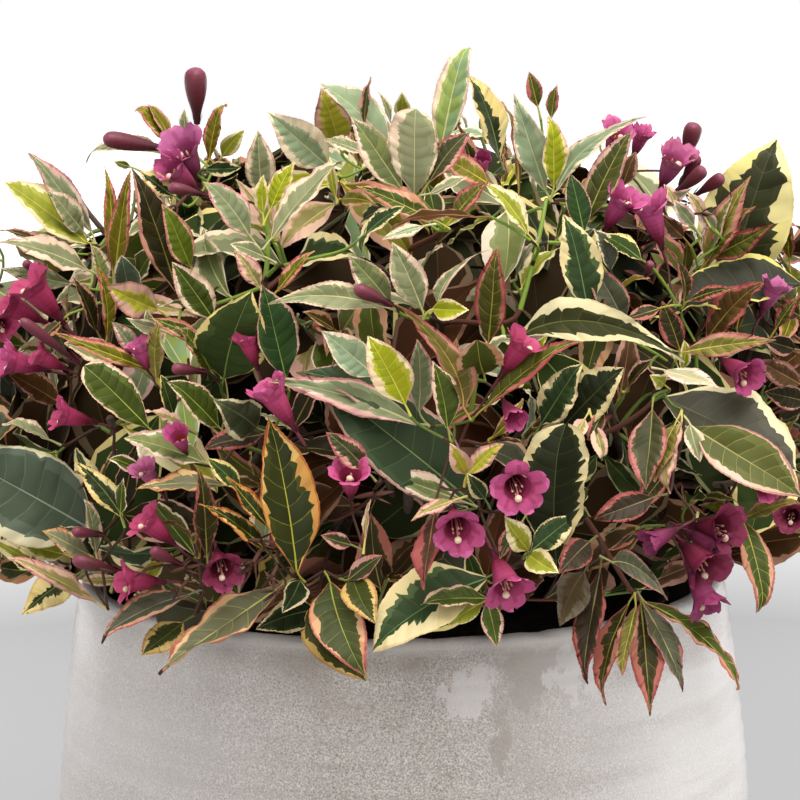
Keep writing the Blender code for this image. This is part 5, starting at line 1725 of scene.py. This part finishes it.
def shoot(tip, direction, out, r, vigour=1.0, pairs=5, near=True, flowers=0):
    """A leafy shoot that ends at tip: its twig, opposite pairs of leaves, flowers."""
    group = group_of(tip)
    young = r.random() < 0.55
    path = grow(tip, direction, 0.0007, 0.0013, STEM_GREEN if young else STEM_RED, group)
    run = np.concatenate([[0], np.cumsum(np.linalg.norm(np.diff(path[::-1], axis=0), axis=1))])
    back = path[::-1]
    total = run[-1]
    turn = r.uniform(0, math.tau)
    a0 = unit(np.cross(direction, [0.31, 0.17, 0.93]))
    scale = vigour * r.uniform(0.85, 1.15)
    lift = np.array([0.0, 0.0, 1.0])
    base_kind = kind_at(tip, r, 1)
    for pair, (gap, l, spread) in enumerate(SHOOT[:pairs]):
        s = gap * scale * r.uniform(0.9, 1.1)
        if s > total * 0.92:
            break
        here = np.array([np.interp(s, run, back[:, c]) for c in range(3)])
        ahead = np.array([np.interp(max(s - 0.004, 0), run, back[:, c]) for c in range(3)])
        axis = unit(here * 0 + (ahead - here)) if s > 0.004 else unit(direction)
        a = unit(a0 - axis * (a0 @ axis))
        b = np.cross(axis, a)
        twistd = turn + pair * (math.pi / 2 + r.normal(0, 0.16))
        for half in (0, 1):
            if pair >= 3 and r.random() < 0.10:
                continue
            phi = twistd + half * math.pi + r.normal(0, 0.12)
            radial = a * math.cos(phi) + b * math.sin(phi)
            th = math.radians(spread + r.normal(0, 8))
            length = l * scale * r.uniform(0.82, 1.16)
            d = axis * math.cos(th) + radial * math.sin(th)
            d = unit(d + out * 0.22 + lift * r.uniform(-0.22, 0.18))
            up = axis * math.sin(th) - radial * math.cos(th)
            normal = unit(0.55 * up + 0.55 * out + 0.40 * lift + r.normal(0, 0.16, 3))
            start = here + radial * 0.0008
            base = start + unit(d + axis * 0.5) * 0.0022
            end = base + d * length
            if end[2] < 0.262 or np.any(end < BOX_LOW) or np.any(end > BOX_HIGH):
                continue
            if np.hypot(end[0], end[1]) < RIM_RADIUS - 0.02 and end[2] < 0.295:
                continue
            mid = (base + end) / 2
            if outside_line(end) or outside_line(mid):
                continue
            shown, proud = in_front(mid)
            shown_e, proud_e = in_front(end)
            if (shown and proud > -0.007) or (shown_e and proud_e > -0.004):
                continue
            kind = base_kind if (pair and r.random() < 0.55) else kind_at(mid, r, pair)
            outer = np.linalg.norm((mid - ENV_CENTRE) / ENV_HALF)
            # leaves far back on a shoot, deep in the crown, get near-black tints: painted shade
            if pair >= 4 and outer < 0.72:
                kind = ["shade", "dusk", "umber", "blackgreen", "rustdark"][r.integers(5)]
            grain = 1 if (outer > (0.74 if near else 0.84) and pair < 5) else 2
            if shown and proud > -0.03 and pair < 4:
                grain = 1
            form = ["ovate", "ovate", "oval", "lance", "ovate"][r.integers(5)] if pair > 1 else ["lance", "ovate", "lance"][r.integers(3)]
            ratio = FORM_RATIO[form] * r.uniform(0.86, 1.08)
            if pair == 0:
                ratio *= 0.8
            pile = pile_for(group)
            set_leaf(
                group, base, d, normal, length, length * ratio, kind, r, grain,
                form=form, fold=r.uniform(0.15, 0.5) + (0.3 if pair == 0 else 0), bend=r.uniform(0.1, 0.9),
                tip=r.uniform(0.0, 0.5), twist=r.normal(0, 0.25), wave=r.uniform(0.5, 1.6), side=r.normal(0, 0.10),
            )
            pile.verts[-1][:] = hold_in(keep_out(pile.verts[-1]))
            stalk = np.array([start - radial * 0.0006, start + axis * 0.0004 + radial * 0.0008, base + d * 0.001])
            tube(twigs(group), stalk, np.array([0.0008, 0.0007, 0.0005]), TINTS[kind].rib, sides=4, cap=False)
        if flowers and pair in (1, 2, 3):
            for _ in range(flowers if pair == 2 else r.integers(0, 2)):
                phi = twistd + r.uniform(0, math.tau)
                radial = a * math.cos(phi) + b * math.sin(phi)
                d = unit(radial * 0.9 + out * 0.8 + axis * 0.4 + lift * r.uniform(-0.3, 0.3))
                size = r.uniform(0.88, 1.05)
                base = here + d * r.uniform(0.006, 0.014)
                face = base + d * 0.03 * size
                if face[2] < 0.275 or np.any(face < BOX_LOW) or np.any(face > BOX_HIGH) or outside_line(face, 14):
                    continue
                fx, fy, _ = in_view(face)
                if -20 < fx < 820 and fy < 300 and face[1] < 0.16:
                    continue
                shown, proud = in_front(face)
                if shown and (proud > -0.016 or r.random() < 0.8):
                    continue
                stalk = bezier(here, here + radial * 0.003, base - d * 0.003, base + d * 0.0005, 5)
                tube(twigs(group), stalk, 0.0006, STEM_RED, sides=4, cap=False)
                if r.random() < 0.62:
                    flower(group, base, d, r, size, "mmmvcp"[r.integers(6)], r.uniform(0.75, 1.12))
                elif r.random() < 0.75:
                    bud(group, base, d, r.uniform(0.014, 0.029), r.uniform(0.005, 0.0105), r)
                else:
                    husk(group, base, d, r, 1.0)


made = 0
targets.sort(key=lambda t: np.linalg.norm((t[0] - ENV_CENTRE) / ENV_HALF))
for p, n, d in targets:
    r = np.random.default_rng(SEED * 1000 + made)
    made += 1
    out = unit(0.6 * n + 0.6 * d)
    if p[2] < 0.34:
        flat = unit([p[0], p[1], 0])
        direction = unit(0.85 * flat + 0.35 * out + np.array([0, 0, 0.25]) + r.normal(0, 0.2, 3))
        inset = 0.012
    else:
        direction = unit(0.62 * out + np.array([0, 0, 0.42]) + r.normal(0, 0.20, 3))
        inset = r.uniform(0.006, 0.020)
    tip = p - out * inset
    shown, proud = in_front(tip)
    if shown:
        tip = tip - out * max(0.0, min(proud + 0.024, 0.05))
    for _ in range(9):
        if not outside_line(tip, 14):
            break
        tip = tip - out * 0.005 - np.array([0, 0, 0.002 if tip[2] > 0.45 else -0.002])
    else:
        continue
    bloom = 0
    if r.random() < 0.26:
        bloom = int(r.integers(1, 4))
    shoot(tip, direction, out, r, vigour=r.uniform(0.85, 1.1), pairs=5, near=not (p[1] > 0.06), flowers=bloom)


# older leaves inside the crown close the sight lines through it; their near-black tints are painted shade for the
# crown's dark inside
inner_rng = np.random.default_rng(SEED + 9)
inner = 0
while inner < 620:
    d = unit(inner_rng.normal(0, 1, 3))
    if d[2] < -0.38:
        continue
    depth = inner_rng.uniform(0.36, 0.80) if inner < 430 else inner_rng.uniform(0.62, 0.86)
    if inner >= 430 and abs(d[0]) < 0.55:
        continue
    p = ENV_CENTRE + d * ENV_HALF * depth
    if p[2] < 0.315 or (np.hypot(p[0], p[1]) > 0.14 and p[2] < 0.325) or outside_line(p, 22):
        continue
    out = unit(d / ENV_HALF)
    a = unit(np.cross(out, inner_rng.normal(0, 1, 3)))
    end = p + unit(a + out * inner_rng.uniform(-0.2, 0.3)) * inner_rng.uniform(0.045, 0.072)
    inner += 1
    if outside_line(end, 20) or end[2] < 0.308:
        continue
    # dark tints for the inner leaves: painted shade
    kind = ["shade", "shade", "dusk", "dusk", "dusk", "rustdark", "dusk", "blackgreen"][inner_rng.integers(8)]
    l = np.linalg.norm(end - p)
    group = group_of((p + end) / 2)
    set_leaf(group, p, end - p, unit(out + inner_rng.normal(0, 0.3, 3)), l, l * inner_rng.uniform(0.48, 0.62), kind, inner_rng, 2,
             form="oval", fold=0.15, bend=inner_rng.uniform(-0.1, 0.5), tip=0.2, wave=1.0, green=0.88)
    grow(p, end - p, 0.0007, 0.0012, STEM_BROWN, group, sides=4, least=0.004, remember=False)


# ---------------------------------------------------- materials with a texture
def nodes_of(name):
    mat = bpy.data.materials.new(name)
    mat.use_nodes = True
    tree = mat.node_tree
    return mat, tree, tree.nodes["Principled BSDF"]


class Graph:
    """Shorthand for making shader nodes."""

    def __init__(self, tree):
        self.tree = tree
        self.coords = tree.nodes.new("ShaderNodeTexCoord").outputs["Object"]

    def link(self, a, b):
        self.tree.links.new(a, b)

    def noise(self, scale, detail=4.0, rough=0.55, stretch=None, shift=(0, 0, 0)):
        n = self.tree.nodes.new("ShaderNodeTexNoise")
        n.inputs["Scale"].default_value = scale
        n.inputs["Detail"].default_value = detail
        n.inputs["Roughness"].default_value = rough
        self.link(self.mapped(stretch, shift), n.inputs["Vector"])
        return n.outputs["Fac"]

    def mapped(self, stretch, shift=(0, 0, 0)):
        m = self.tree.nodes.new("ShaderNodeMapping")
        m.inputs["Scale"].default_value = stretch or (1, 1, 1)
        m.inputs["Location"].default_value = shift
        self.link(self.coords, m.inputs["Vector"])
        return m.outputs["Vector"]

    def cells(self, scale, what="Distance", feature="F1", shift=(0, 0, 0)):
        n = self.tree.nodes.new("ShaderNodeTexVoronoi")
        n.feature = feature
        n.inputs["Scale"].default_value = scale
        self.link(self.mapped(None, shift), n.inputs["Vector"])
        return n.outputs[what]

    def ramp(self, value, stops):
        n = self.tree.nodes.new("ShaderNodeValToRGB")
        r = n.color_ramp
        while len(r.elements) < len(stops):
            r.elements.new(0.5)
        for e, (at, c) in zip(r.elements, stops):
            e.position = at
            e.color = (c, c, c, 1.0) if isinstance(c, float) else (*linear(c), 1.0)
        self.link(value, n.inputs["Fac"])
        return n.outputs["Color"]

    def mix(self, factor, a, b, mode="MIX"):
        n = self.tree.nodes.new("ShaderNodeMix")
        n.data_type = "RGBA"
        n.blend_type = mode
        for value, socket in ((factor, n.inputs[0]), (a, n.inputs[6]), (b, n.inputs[7])):
            if isinstance(value, (float, int)):
                socket.default_value = value
            elif isinstance(value, str):
                socket.default_value = (*linear(value), 1.0)
            else:
                self.link(value, socket)
        return n.outputs[2]

    def math(self, op, a, b=0.0, clamp=False):
        n = self.tree.nodes.new("ShaderNodeMath")
        n.operation = op
        n.use_clamp = clamp
        for value, socket in ((a, n.inputs[0]), (b, n.inputs[1])):
            if isinstance(value, (float, int)):
                socket.default_value = value
            else:
                self.link(value, socket)
        return n.outputs[0]

    def axis(self, which):
        n = self.tree.nodes.new("ShaderNodeSeparateXYZ")
        self.link(self.coords, n.inputs[0])
        return n.outputs[which]

    def range(self, value, a, b):
        n = self.tree.nodes.new("ShaderNodeMapRange")
        n.inputs["From Min"].default_value = a
        n.inputs["From Max"].default_value = b
        self.link(value, n.inputs["Value"])
        return n.outputs["Result"]

    def bump(self, height, strength, distance, shader, over=None):
        n = self.tree.nodes.new("ShaderNodeBump")
        n.inputs["Strength"].default_value = strength
        n.inputs["Distance"].default_value = distance
        self.link(height, n.inputs["Height"])
        if over is not None:
            self.link(over, n.inputs["Normal"])
        if shader is not None:
            self.link(n.outputs["Normal"], shader.inputs["Normal"])
        return n.outputs["Normal"]


def planter_finish():
    """Stone-coloured glaze: grainy, speckled, damp and scuffed below the rim."""
    mat, tree, shader = nodes_of("speckled_stoneware")
    g = Graph(tree)
    broad = g.noise(7.0, 3.0, 0.5)
    blotch = g.noise(26.0, 6.0, 0.62, shift=(3, 1, 2))
    grain = g.noise(1150.0, 2.0, 0.78)
    base = g.mix(g.ramp(broad, [(0.30, 0.0), (0.72, 1.0)]), "b5aaa3", "c4bcb7")
    base = g.mix(g.ramp(blotch, [(0.35, 0.0), (0.75, 0.6)]), base, "b4aaa1")
    base = g.mix(g.ramp(grain, [(0.50, 0.0), (0.64, 0.85)]), base, "e6e0da")
    base = g.mix(g.ramp(grain, [(0.34, 0.85), (0.49, 0.0)]), base, "847a72")
    # damp, browner patches under the front of the rim
    z, y, x0 = g.axis(2), g.axis(1), g.axis(0)
    under = g.math("MULTIPLY", g.range(z, 0.205, 0.288), g.range(y, 0.02, -0.13), True)
    damp = g.math("MULTIPLY", g.ramp(g.noise(19.0, 5.0, 0.65, shift=(0.4, 0.2, 0.9)), [(0.46, 0.0), (0.60, 1.0)]), under, True)
    base = g.mix(g.math("MULTIPLY", damp, 0.55), base, "a3968b")
    # fine dark specks, with a few larger ones
    speck = g.cells(760.0)
    rare = g.noise(120.0, 2.0, 0.5, shift=(5, 5, 5))
    fine = g.math("MULTIPLY", g.ramp(speck, [(0.16, 1.0), (0.27, 0.0)]), g.ramp(rare, [(0.50, 0.0), (0.60, 1.0)]))
    base = g.mix(g.math("MULTIPLY", fine, 0.62), base, "6b635d")
    big = g.ramp(g.cells(150.0, shift=(1, 2, 3)), [(0.07, 1.0), (0.12, 0.0)])
    base = g.mix(g.math("MULTIPLY", big, 0.5), base, "746a62")
    pale = g.ramp(g.cells(210.0, shift=(7, 2, 5)), [(0.08, 1.0), (0.15, 0.0)])
    base = g.mix(g.math("MULTIPLY", pale, 0.45), base, "e4dfda")
    # a dry crust with crisp edges has run down over the damp
    ragged = g.math("MULTIPLY", g.math("SUBTRACT", g.noise(62.0, 9.0, 0.74, (1.0, 1.0, 0.62), (1.7, 0.3, 2.6)), 0.5), 7.5)
    front = g.range(y, 0.0, -0.02)

    def patch(cx, cz, rx, rz, low, high):
        dx = g.math("MULTIPLY", g.math("SUBTRACT", x0, cx), 1.0 / rx)
        dz = g.math("MULTIPLY", g.math("SUBTRACT", z, cz), 1.0 / rz)
        far = g.math("ADD", g.math("MULTIPLY", dx, dx), g.math("MULTIPLY", dz, dz))
        inside = g.ramp(g.math("ADD", g.math("SUBTRACT", 1.3, far), ragged), [(low, 0.0), (high, 1.0)])
        return g.math("MULTIPLY", inside, front)

    wet = g.math("MAXIMUM", patch(0.056, 0.281, 0.012, 0.018, 0.3, 0.8), patch(0.045, 0.262, 0.006, 0.022, 0.4, 0.9))
    wet = g.math("MAXIMUM", wet, patch(0.072, 0.288, 0.040, 0.006, 0.3, 0.9))
    base = g.mix(g.math("MULTIPLY", wet, 0.70), base, "968a80")
    crust = g.math("MAXIMUM", patch(0.034, 0.279, 0.013, 0.016, 0.42, 0.52), patch(0.083, 0.277, 0.015, 0.018, 0.42, 0.52))
    crust = g.math("MAXIMUM", crust, patch(0.018, 0.283, 0.008, 0.012, 0.9, 1.0))
    base = g.mix(g.math("MULTIPLY", crust, 0.8), base, "d9d4d2")
    # a brown band just under the lip, and the lip itself painted pale: a painted highlight where the rounded lip
    # catches the light
    tide = g.math("MULTIPLY", g.range(z, 0.281, 0.288), g.range(z, 0.2935, 0.2905))
    base = g.mix(g.math("MULTIPLY", tide, g.ramp(blotch, [(0.35, 0.15), (0.65, 0.6)])), base, "94877b")
    # the pale lip is a painted highlight
    edge = g.range(z, 0.2925, 0.2960)
    base = g.mix(g.math("MULTIPLY", edge, g.ramp(blotch, [(0.3, 0.4), (0.7, 0.9)])), base, "e4deda")
    # paler towards both sides, most of all on the right: partly the glaze, partly painted light on the sides of the
    # round wall
    x = g.axis(0)
    streak = g.noise(11.0, 4.0, 0.6, (0.35, 0.35, 3.2), (2, 4, 1))
    # brushed bands that run round the wall
    bands = g.noise(9.0, 6.0, 0.66, (0.22, 0.22, 13.0), (6, 1, 3))
    brushed = g.math("MULTIPLY", g.ramp(bands, [(0.44, 0.0), (0.60, 1.0)]), g.ramp(g.noise(5.0, 2.0, 0.5, shift=(8, 3, 1)), [(0.35, 0.25), (0.6, 1.0)]))
    base = g.mix(g.math("MULTIPLY", brushed, 0.34), base, "a1978f")
    # painted light on the right side, partly the glaze's own paler run
    right = g.math("MULTIPLY", g.range(x, 0.02, 0.13), g.ramp(streak, [(0.36, 0.55), (0.58, 1.0)]))
    base = g.mix(g.math("MULTIPLY", right, 0.68), base, "fbf8f6")
    # painted light along the left side, partly the glaze
    left = g.math("MULTIPLY", g.range(x, -0.03, -0.12), g.ramp(streak, [(0.36, 1.0), (0.62, 0.6)]))
    base = g.mix(g.math("MULTIPLY", left, 0.5), base, "dfdcdc")
    g.link(base, shader.inputs["Base Color"])
    rough = g.math("SUBTRACT", g.ramp(blotch, [(0.3, 0.66), (0.75, 0.86)]), g.math("MULTIPLY", damp, 0.16))
    g.link(rough, shader.inputs["Roughness"])
    shader.inputs["Specular IOR Level"].default_value = 0.32
    shader.inputs["Sheen Weight"].default_value = 0.8
    shader.inputs["Sheen Roughness"].default_value = 0.10
    shader.inputs["Coat Weight"].default_value = 0.30
    shader.inputs["Coat Roughness"].default_value = 0.28
    first = g.bump(g.noise(95.0, 5.0, 0.6), 0.35, 0.0012, None)
    g.bump(g.math("ADD", grain, g.math("MULTIPLY", fine, -0.6)), 0.30, 0.0006, shader, first)
    return mat


def pot_finish():
    """Thin black moulded plastic with dust and scuffs."""
    mat, tree, shader = nodes_of("growing_pot_plastic")
    g = Graph(tree)
    dust = g.ramp(g.noise(46.0, 6.0, 0.65), [(0.45, 0.0), (0.80, 1.0)])
    scuff = g.ramp(g.noise(140.0, 3.0, 0.6, (1, 1, 0.12)), [(0.55, 0.0), (0.75, 1.0)])
    base = g.mix(g.math("MULTIPLY", dust, 0.5), "17171a", "3a3530")
    base = g.mix(g.math("MULTIPLY", scuff, 0.3), base, "4a4a4c")
    g.link(base, shader.inputs["Base Color"])
    g.link(g.math("ADD", g.math("MULTIPLY", dust, 0.3), 0.42), shader.inputs["Roughness"])
    g.bump(g.noise(700.0, 2.0, 0.5), 0.15, 0.0003, shader)
    return mat


def soil_finish():
    """Dark moist compost with fibres and crumbs of bark."""
    mat, tree, shader = nodes_of("compost")
    g = Graph(tree)
    crumb = g.cells(240.0)
    fine = g.noise(420.0, 4.0, 0.7)
    chips = g.ramp(g.cells(105.0, "Color"), [(0.55, 0.0), (0.85, 1.0)])
    base = g.mix(g.ramp(fine, [(0.30, 0.0), (0.75, 1.0)]), "17100c", "3b2a1f")
    base = g.mix(g.math("MULTIPLY", chips, 0.45), base, "5a3d29")
    base = g.mix(g.ramp(crumb, [(0.05, 0.7), (0.4, 0.0)]), base, "0f0b08")
    g.link(base, shader.inputs["Base Color"])
    shader.inputs["Roughness"].default_value = 0.93
    g.bump(g.math("ADD", fine, crumb), 0.8, 0.0015, shader)
    return mat


def bark_finish():
    """Grey-brown bark: fine long fissures, paler ridges and small pores."""
    mat, tree, shader = nodes_of("shrub_bark")
    g = Graph(tree)
    fibre = g.noise(420.0, 5.0, 0.65, (1.0, 1.0, 0.16))
    patch = g.noise(60.0, 4.0, 0.55)
    base = g.mix(g.ramp(fibre, [(0.32, 0.0), (0.70, 1.0)]), "2b1f18", "594437")
    base = g.mix(g.ramp(patch, [(0.40, 0.0), (0.75, 0.65)]), base, "6a5a4b")
    pores = g.ramp(g.cells(650.0), [(0.10, 1.0), (0.20, 0.0)])
    base = g.mix(g.math("MULTIPLY", pores, 0.5), base, "86715e")
    g.link(base, shader.inputs["Base Color"])
    g.link(g.ramp(fibre, [(0.3, 0.92), (0.8, 0.72)]), shader.inputs["Roughness"])
    g.bump(g.math("ADD", fibre, g.math("MULTIPLY", pores, 0.4)), 0.7, 0.0007, shader)
    return mat


FINISHES[BARK_MAT] = bark_finish()


# ------------------------------------------------------- planter, pot and soil
def turned(name, profile, steps, mat, ripple=None):
    profile = np.array(profile, float)
    n = len(profile)
    phi = np.arange(steps) * math.tau / steps
    r = np.repeat(profile[:, 0], steps).reshape(n, steps)
    z = np.repeat(profile[:, 1], steps).reshape(n, steps)
    if ripple is not None:
        r, z = ripple(r, z, np.broadcast_to(phi, (n, steps)))
    verts = np.stack([r * np.sin(phi), -r * np.cos(phi), z], -1).reshape(-1, 3)
    i, j = np.meshgrid(np.arange(n - 1), np.arange(steps), indexing="ij")
    i, j = i.ravel(), j.ravel()
    k = (j + 1) % steps
    faces = [tuple(q) for q in np.stack([i * steps + j, (i + 1) * steps + j, (i + 1) * steps + k, i * steps + k], 1)]
    first, last = len(verts), len(verts) + 1
    verts = np.vstack([verts, [[0, 0, profile[0, 1]], [0, 0, profile[-1, 1]]]])
    for a in range(steps):
        b = (a + 1) % steps
        faces.append((first, a, b))
        faces.append((last, (n - 1) * steps + b, (n - 1) * steps + a))
    mesh = bpy.data.meshes.new(name)
    mesh.from_pydata([tuple(v) for v in verts], [], faces)
    bm = bmesh.new()
    bm.from_mesh(mesh)
    bmesh.ops.recalc_face_normals(bm, faces=bm.faces)
    bm.to_mesh(mesh)
    bm.free()
    mesh.materials.append(mat)
    mesh.shade_smooth()
    mesh.set_sharp_from_angle(angle=math.radians(50))
    obj = bpy.data.objects.new(name, mesh)
    bpy.context.scene.collection.objects.link(obj)
    return obj


def planter_section():
    points = [(0.02, FLOOR), (0.06, FLOOR), (float(planter_radius(FLOOR)) - WALL - 0.006, FLOOR)]
    inner = np.concatenate([[FLOOR + 0.004], np.linspace(0.030, PLANTER_HEIGHT - 0.0068, 34)])
    points += [(float(planter_radius(z)) - WALL, z) for z in inner]
    lip = WALL / 2
    middle = RIM_RADIUS - lip
    for a in np.linspace(math.pi, 0, 13)[1:-1]:
        points.append((middle + lip * math.cos(a), PLANTER_HEIGHT - lip + lip * math.sin(a)))
    outer = np.linspace(PLANTER_HEIGHT - 0.0072, FOOT_ROUND + 0.002, 74)
    points += [(float(planter_radius(z)), z) for z in outer]
    r0 = float(planter_radius(FOOT_ROUND)) - 0.0005
    points += [(r0, FOOT_ROUND), (r0 - 0.0012, 0.0030), (FOOT_RADIUS - FOOT_ROUND * 0.4, 0.0009), (FOOT_RADIUS - FOOT_ROUND * 0.6, 0.0), (0.06, 0.0), (0.02, 0.0)]
    return points


def thrown(r, z, phi):
    """Faint rings from the wheel, an uneven hand, and small knocks on the rim."""
    solid = (z > 0.004) & (r > 0.1)
    rings = 0.00016 * np.sin(z * math.tau / 0.0062 + 0.5 * np.sin(phi * 2)) + 0.00010 * np.sin(z * math.tau / 0.0115 + 1.0)
    drift = np.zeros_like(r)
    chips = np.zeros_like(r)
    for i in range(r.shape[0]):
        for j in range(r.shape[1]):
            if not solid[i, j]:
                continue
            p = Vector((r[i, j] * math.sin(phi[i, j]), -r[i, j] * math.cos(phi[i, j]), z[i, j]))
            drift[i, j] = 0.00045 * noise.noise(p * 14) + 0.00022 * noise.noise(p * 60)
            if z[i, j] > 0.2925:
                k = noise.noise(p * 85 + Vector((9, 2, 4)))
                chips[i, j] = -0.0010 * max(0.0, k - 0.38) / 0.4
    r = r + np.where(solid, rings + drift, 0.0)
    z = z + chips
    return r, z


planter = turned("planter_turned", planter_section(), 216, planter_finish(), thrown)


def nursery_radius(z):
    foot = FLOOR + GAP
    s = (z - foot) / (NURSERY_RIM_HEIGHT - foot)
    return NURSERY_FOOT_RADIUS + (NURSERY_RIM_RADIUS - NURSERY_LIP - NURSERY_FOOT_RADIUS) * s


foot = FLOOR + GAP
pot_section = [(0.02, foot + NURSERY_WALL), (nursery_radius(foot) - NURSERY_WALL, foot + NURSERY_WALL)]
for z in np.linspace(0.05, NURSERY_RIM_HEIGHT - 0.002, 10):
    pot_section.append((nursery_radius(z) - NURSERY_WALL, z))
pot_section += [
    (nursery_radius(NURSERY_RIM_HEIGHT) - 0.0006, NURSERY_RIM_HEIGHT - 0.0002),
    (nursery_radius(NURSERY_RIM_HEIGHT), NURSERY_RIM_HEIGHT),
    (NURSERY_RIM_RADIUS - 0.0014, NURSERY_RIM_HEIGHT),
    (NURSERY_RIM_RADIUS - 0.0004, NURSERY_RIM_HEIGHT - 0.0006),
    (NURSERY_RIM_RADIUS, NURSERY_RIM_HEIGHT - 0.002),
    (NURSERY_RIM_RADIUS, NURSERY_RIM_HEIGHT - 0.0135),
    (NURSERY_RIM_RADIUS - 0.0006, NURSERY_RIM_HEIGHT - 0.0142),
    (nursery_radius(NURSERY_RIM_HEIGHT - 0.016), NURSERY_RIM_HEIGHT - 0.016),
]
for z in np.linspace(NURSERY_RIM_HEIGHT - 0.03, foot + 0.001, 10):
    pot_section.append((nursery_radius(z), z))
pot_section += [(nursery_radius(foot), foot), (0.02, foot)]
nursery = turned("growing_pot", pot_section, 128, pot_finish())

soil_foot = foot + NURSERY_WALL + GAP
slack = NURSERY_WALL + 2 * GAP
top_r = nursery_radius(SOIL_HEIGHT) - slack


def heaped(r, z, phi):
    """Crumbs and shallow heaps on the compost's surface."""
    out = z.copy()
    for i in range(r.shape[0]):
        for j in range(r.shape[1]):
            if z[i, j] > SOIL_HEIGHT - 1e-6:
                p = Vector((r[i, j] * math.sin(phi[i, j]), -r[i, j] * math.cos(phi[i, j]), 0))
                out[i, j] += 0.0022 * noise.noise(p * 28) + 0.0013 * abs(noise.noise(p * 120)) + 0.0010 * noise.noise(p * 310)
    return r, out


soil_section = [(r, SOIL_HEIGHT) for r in np.linspace(0.004, top_r, 46)] + [(nursery_radius(0.2) - slack, 0.2), (nursery_radius(soil_foot) - slack, soil_foot), (0.02, soil_foot)]
soil = turned("compost_surface", soil_section, 160, soil_finish(), heaped)


# --------------------------------------------------------------- put together
def settle(obj, slot, *nodes):
    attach(obj, "root")
    if nodes:
        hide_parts(*nodes)


settle(planter, "planter", "planter")
settle(nursery, "nursery_pot", "nursery_pot")
settle(soil, "potting_soil", "potting_soil")
bark = BARK.build()
settle(bark, "bark", "stem", *[n for n in NODES if n.startswith("bough_")])

OVERHANG_OF = {
    "front_left": ["overhang_front_left"],
    "front_right": ["overhang_front_right"],
    "shoulder_right": ["overhang_right"],
    "shoulder_left": ["overhang_left"],
    "back_left": ["overhang_back_left"],
    "back_right": ["overhang_back_right"],
}
total = BARK.tris
for name in MASSES:
    pile = pile_for(name)
    obj = pile.build()
    settle(obj, "foliage", "foliage_" + name, *OVERHANG_OF.get(name, []))
    total += pile.tris
    if name in TWIGS:
        settle(TWIGS[name].build(), "bark")
        total += TWIGS[name].tris
    if name in BLOSSOM:
        settle(BLOSSOM[name].build(), "foliage")
        total += BLOSSOM[name].tris
print("triangles on the plant", total, "leaves", LEAF_COUNT, "shoots", len(targets), "tints", len(FINISHES))
print("largest", sorted(((p.tris, p.name) for d in (LEAVES, TWIGS, BLOSSOM) for p in d.values()), reverse=True)[:4])

# ------------------------------------------------------------ floor and light
floor_mesh = bpy.data.meshes.new("floor")
bm = bmesh.new()
bmesh.ops.create_circle(bm, cap_ends=True, segments=96, radius=30.0)
bm.to_mesh(floor_mesh)
bm.free()
floor = bpy.data.objects.new("floor", floor_mesh)
bpy.context.scene.collection.objects.link(floor)
floor_mat, floor_tree, floor_shader = nodes_of("pale_floor")
floor_graph = Graph(floor_tree)
away = floor_tree.nodes.new("ShaderNodeVectorMath")
away.operation = "LENGTH"
floor_graph.link(floor_graph.coords, away.inputs[0])
# the floor runs out into a white surround
floor_graph.link(floor_graph.range(away.outputs["Value"], 1.25, 2.3), floor_shader.inputs["Emission Strength"])
floor_shader.inputs["Emission Color"].default_value = (1.0, 1.0, 1.0, 1.0)
floor_shader.inputs["Base Color"].default_value = (0.37, 0.37, 0.375, 1.0)
floor_shader.inputs["Roughness"].default_value = 0.9
floor_shader.inputs["Specular IOR Level"].default_value = 0.1
floor_mesh.materials.append(floor_mat)

world = bpy.data.worlds.new("soft_sky")
bpy.context.scene.world = world
world.use_nodes = True
wt = world.node_tree
background = wt.nodes["Background"]
coords = wt.nodes.new("ShaderNodeTexCoord").outputs["Generated"]
sep = wt.nodes.new("ShaderNodeSeparateXYZ")
wt.links.new(coords, sep.inputs[0])
ramp = wt.nodes.new("ShaderNodeValToRGB")
# bright overhead, dimmer towards the horizon
ramp.color_ramp.elements[0].position = 0.0
ramp.color_ramp.elements[0].color = (0.40, 0.405, 0.41, 1)
ramp.color_ramp.elements[1].position = 0.75
ramp.color_ramp.elements[1].color = (1.0, 1.0, 1.0, 1)
wt.links.new(sep.outputs[2], ramp.inputs["Fac"])
wt.links.new(ramp.outputs["Color"], background.inputs["Color"])
background.inputs["Strength"].default_value = 0.95
seen_sky = wt.nodes.new("ShaderNodeBackground")
seen_sky.inputs["Color"].default_value = (1.0, 1.0, 1.0, 1.0)
seen_sky.inputs["Strength"].default_value = 1.0
path_kind = wt.nodes.new("ShaderNodeLightPath")
either = wt.nodes.new("ShaderNodeMixShader")
wt.links.new(path_kind.outputs["Is Camera Ray"], either.inputs[0])
wt.links.new(background.outputs[0], either.inputs[1])
wt.links.new(seen_sky.outputs[0], either.inputs[2])
wt.links.new(either.outputs[0], wt.nodes["World Output"].inputs["Surface"])


def soft_light(name, at, toward, size, power, colour=(1, 1, 1)):
    data = bpy.data.lights.new(name, "AREA")
    data.shape = "SQUARE"
    data.size = size
    data.energy = power
    data.color = colour
    obj = bpy.data.objects.new(name, data)
    obj.location = at
    obj.rotation_euler = (Vector(toward) - Vector(at)).to_track_quat("-Z", "Y").to_euler()
    bpy.context.scene.collection.objects.link(obj)


soft_light("key", (0.4, -0.9, 2.3), (0, 0, 0.36), 1.4, 44.0, (1.0, 0.985, 0.955))
soft_light("front", (-0.7, -2.0, 1.1), (0, 0, 0.36), 1.4, 7.2, (1.0, 0.98, 0.94))
soft_light("side", (1.7, -0.5, 0.9), (0, 0, 0.25), 0.8, 3.0)
soft_light("behind_left", (-1.1, 1.0, 0.45), (0, 0, 0.25), 0.9, 8.0)
soft_light("behind_right", (1.1, 1.0, 0.45), (0, 0, 0.25), 0.9, 6.5)
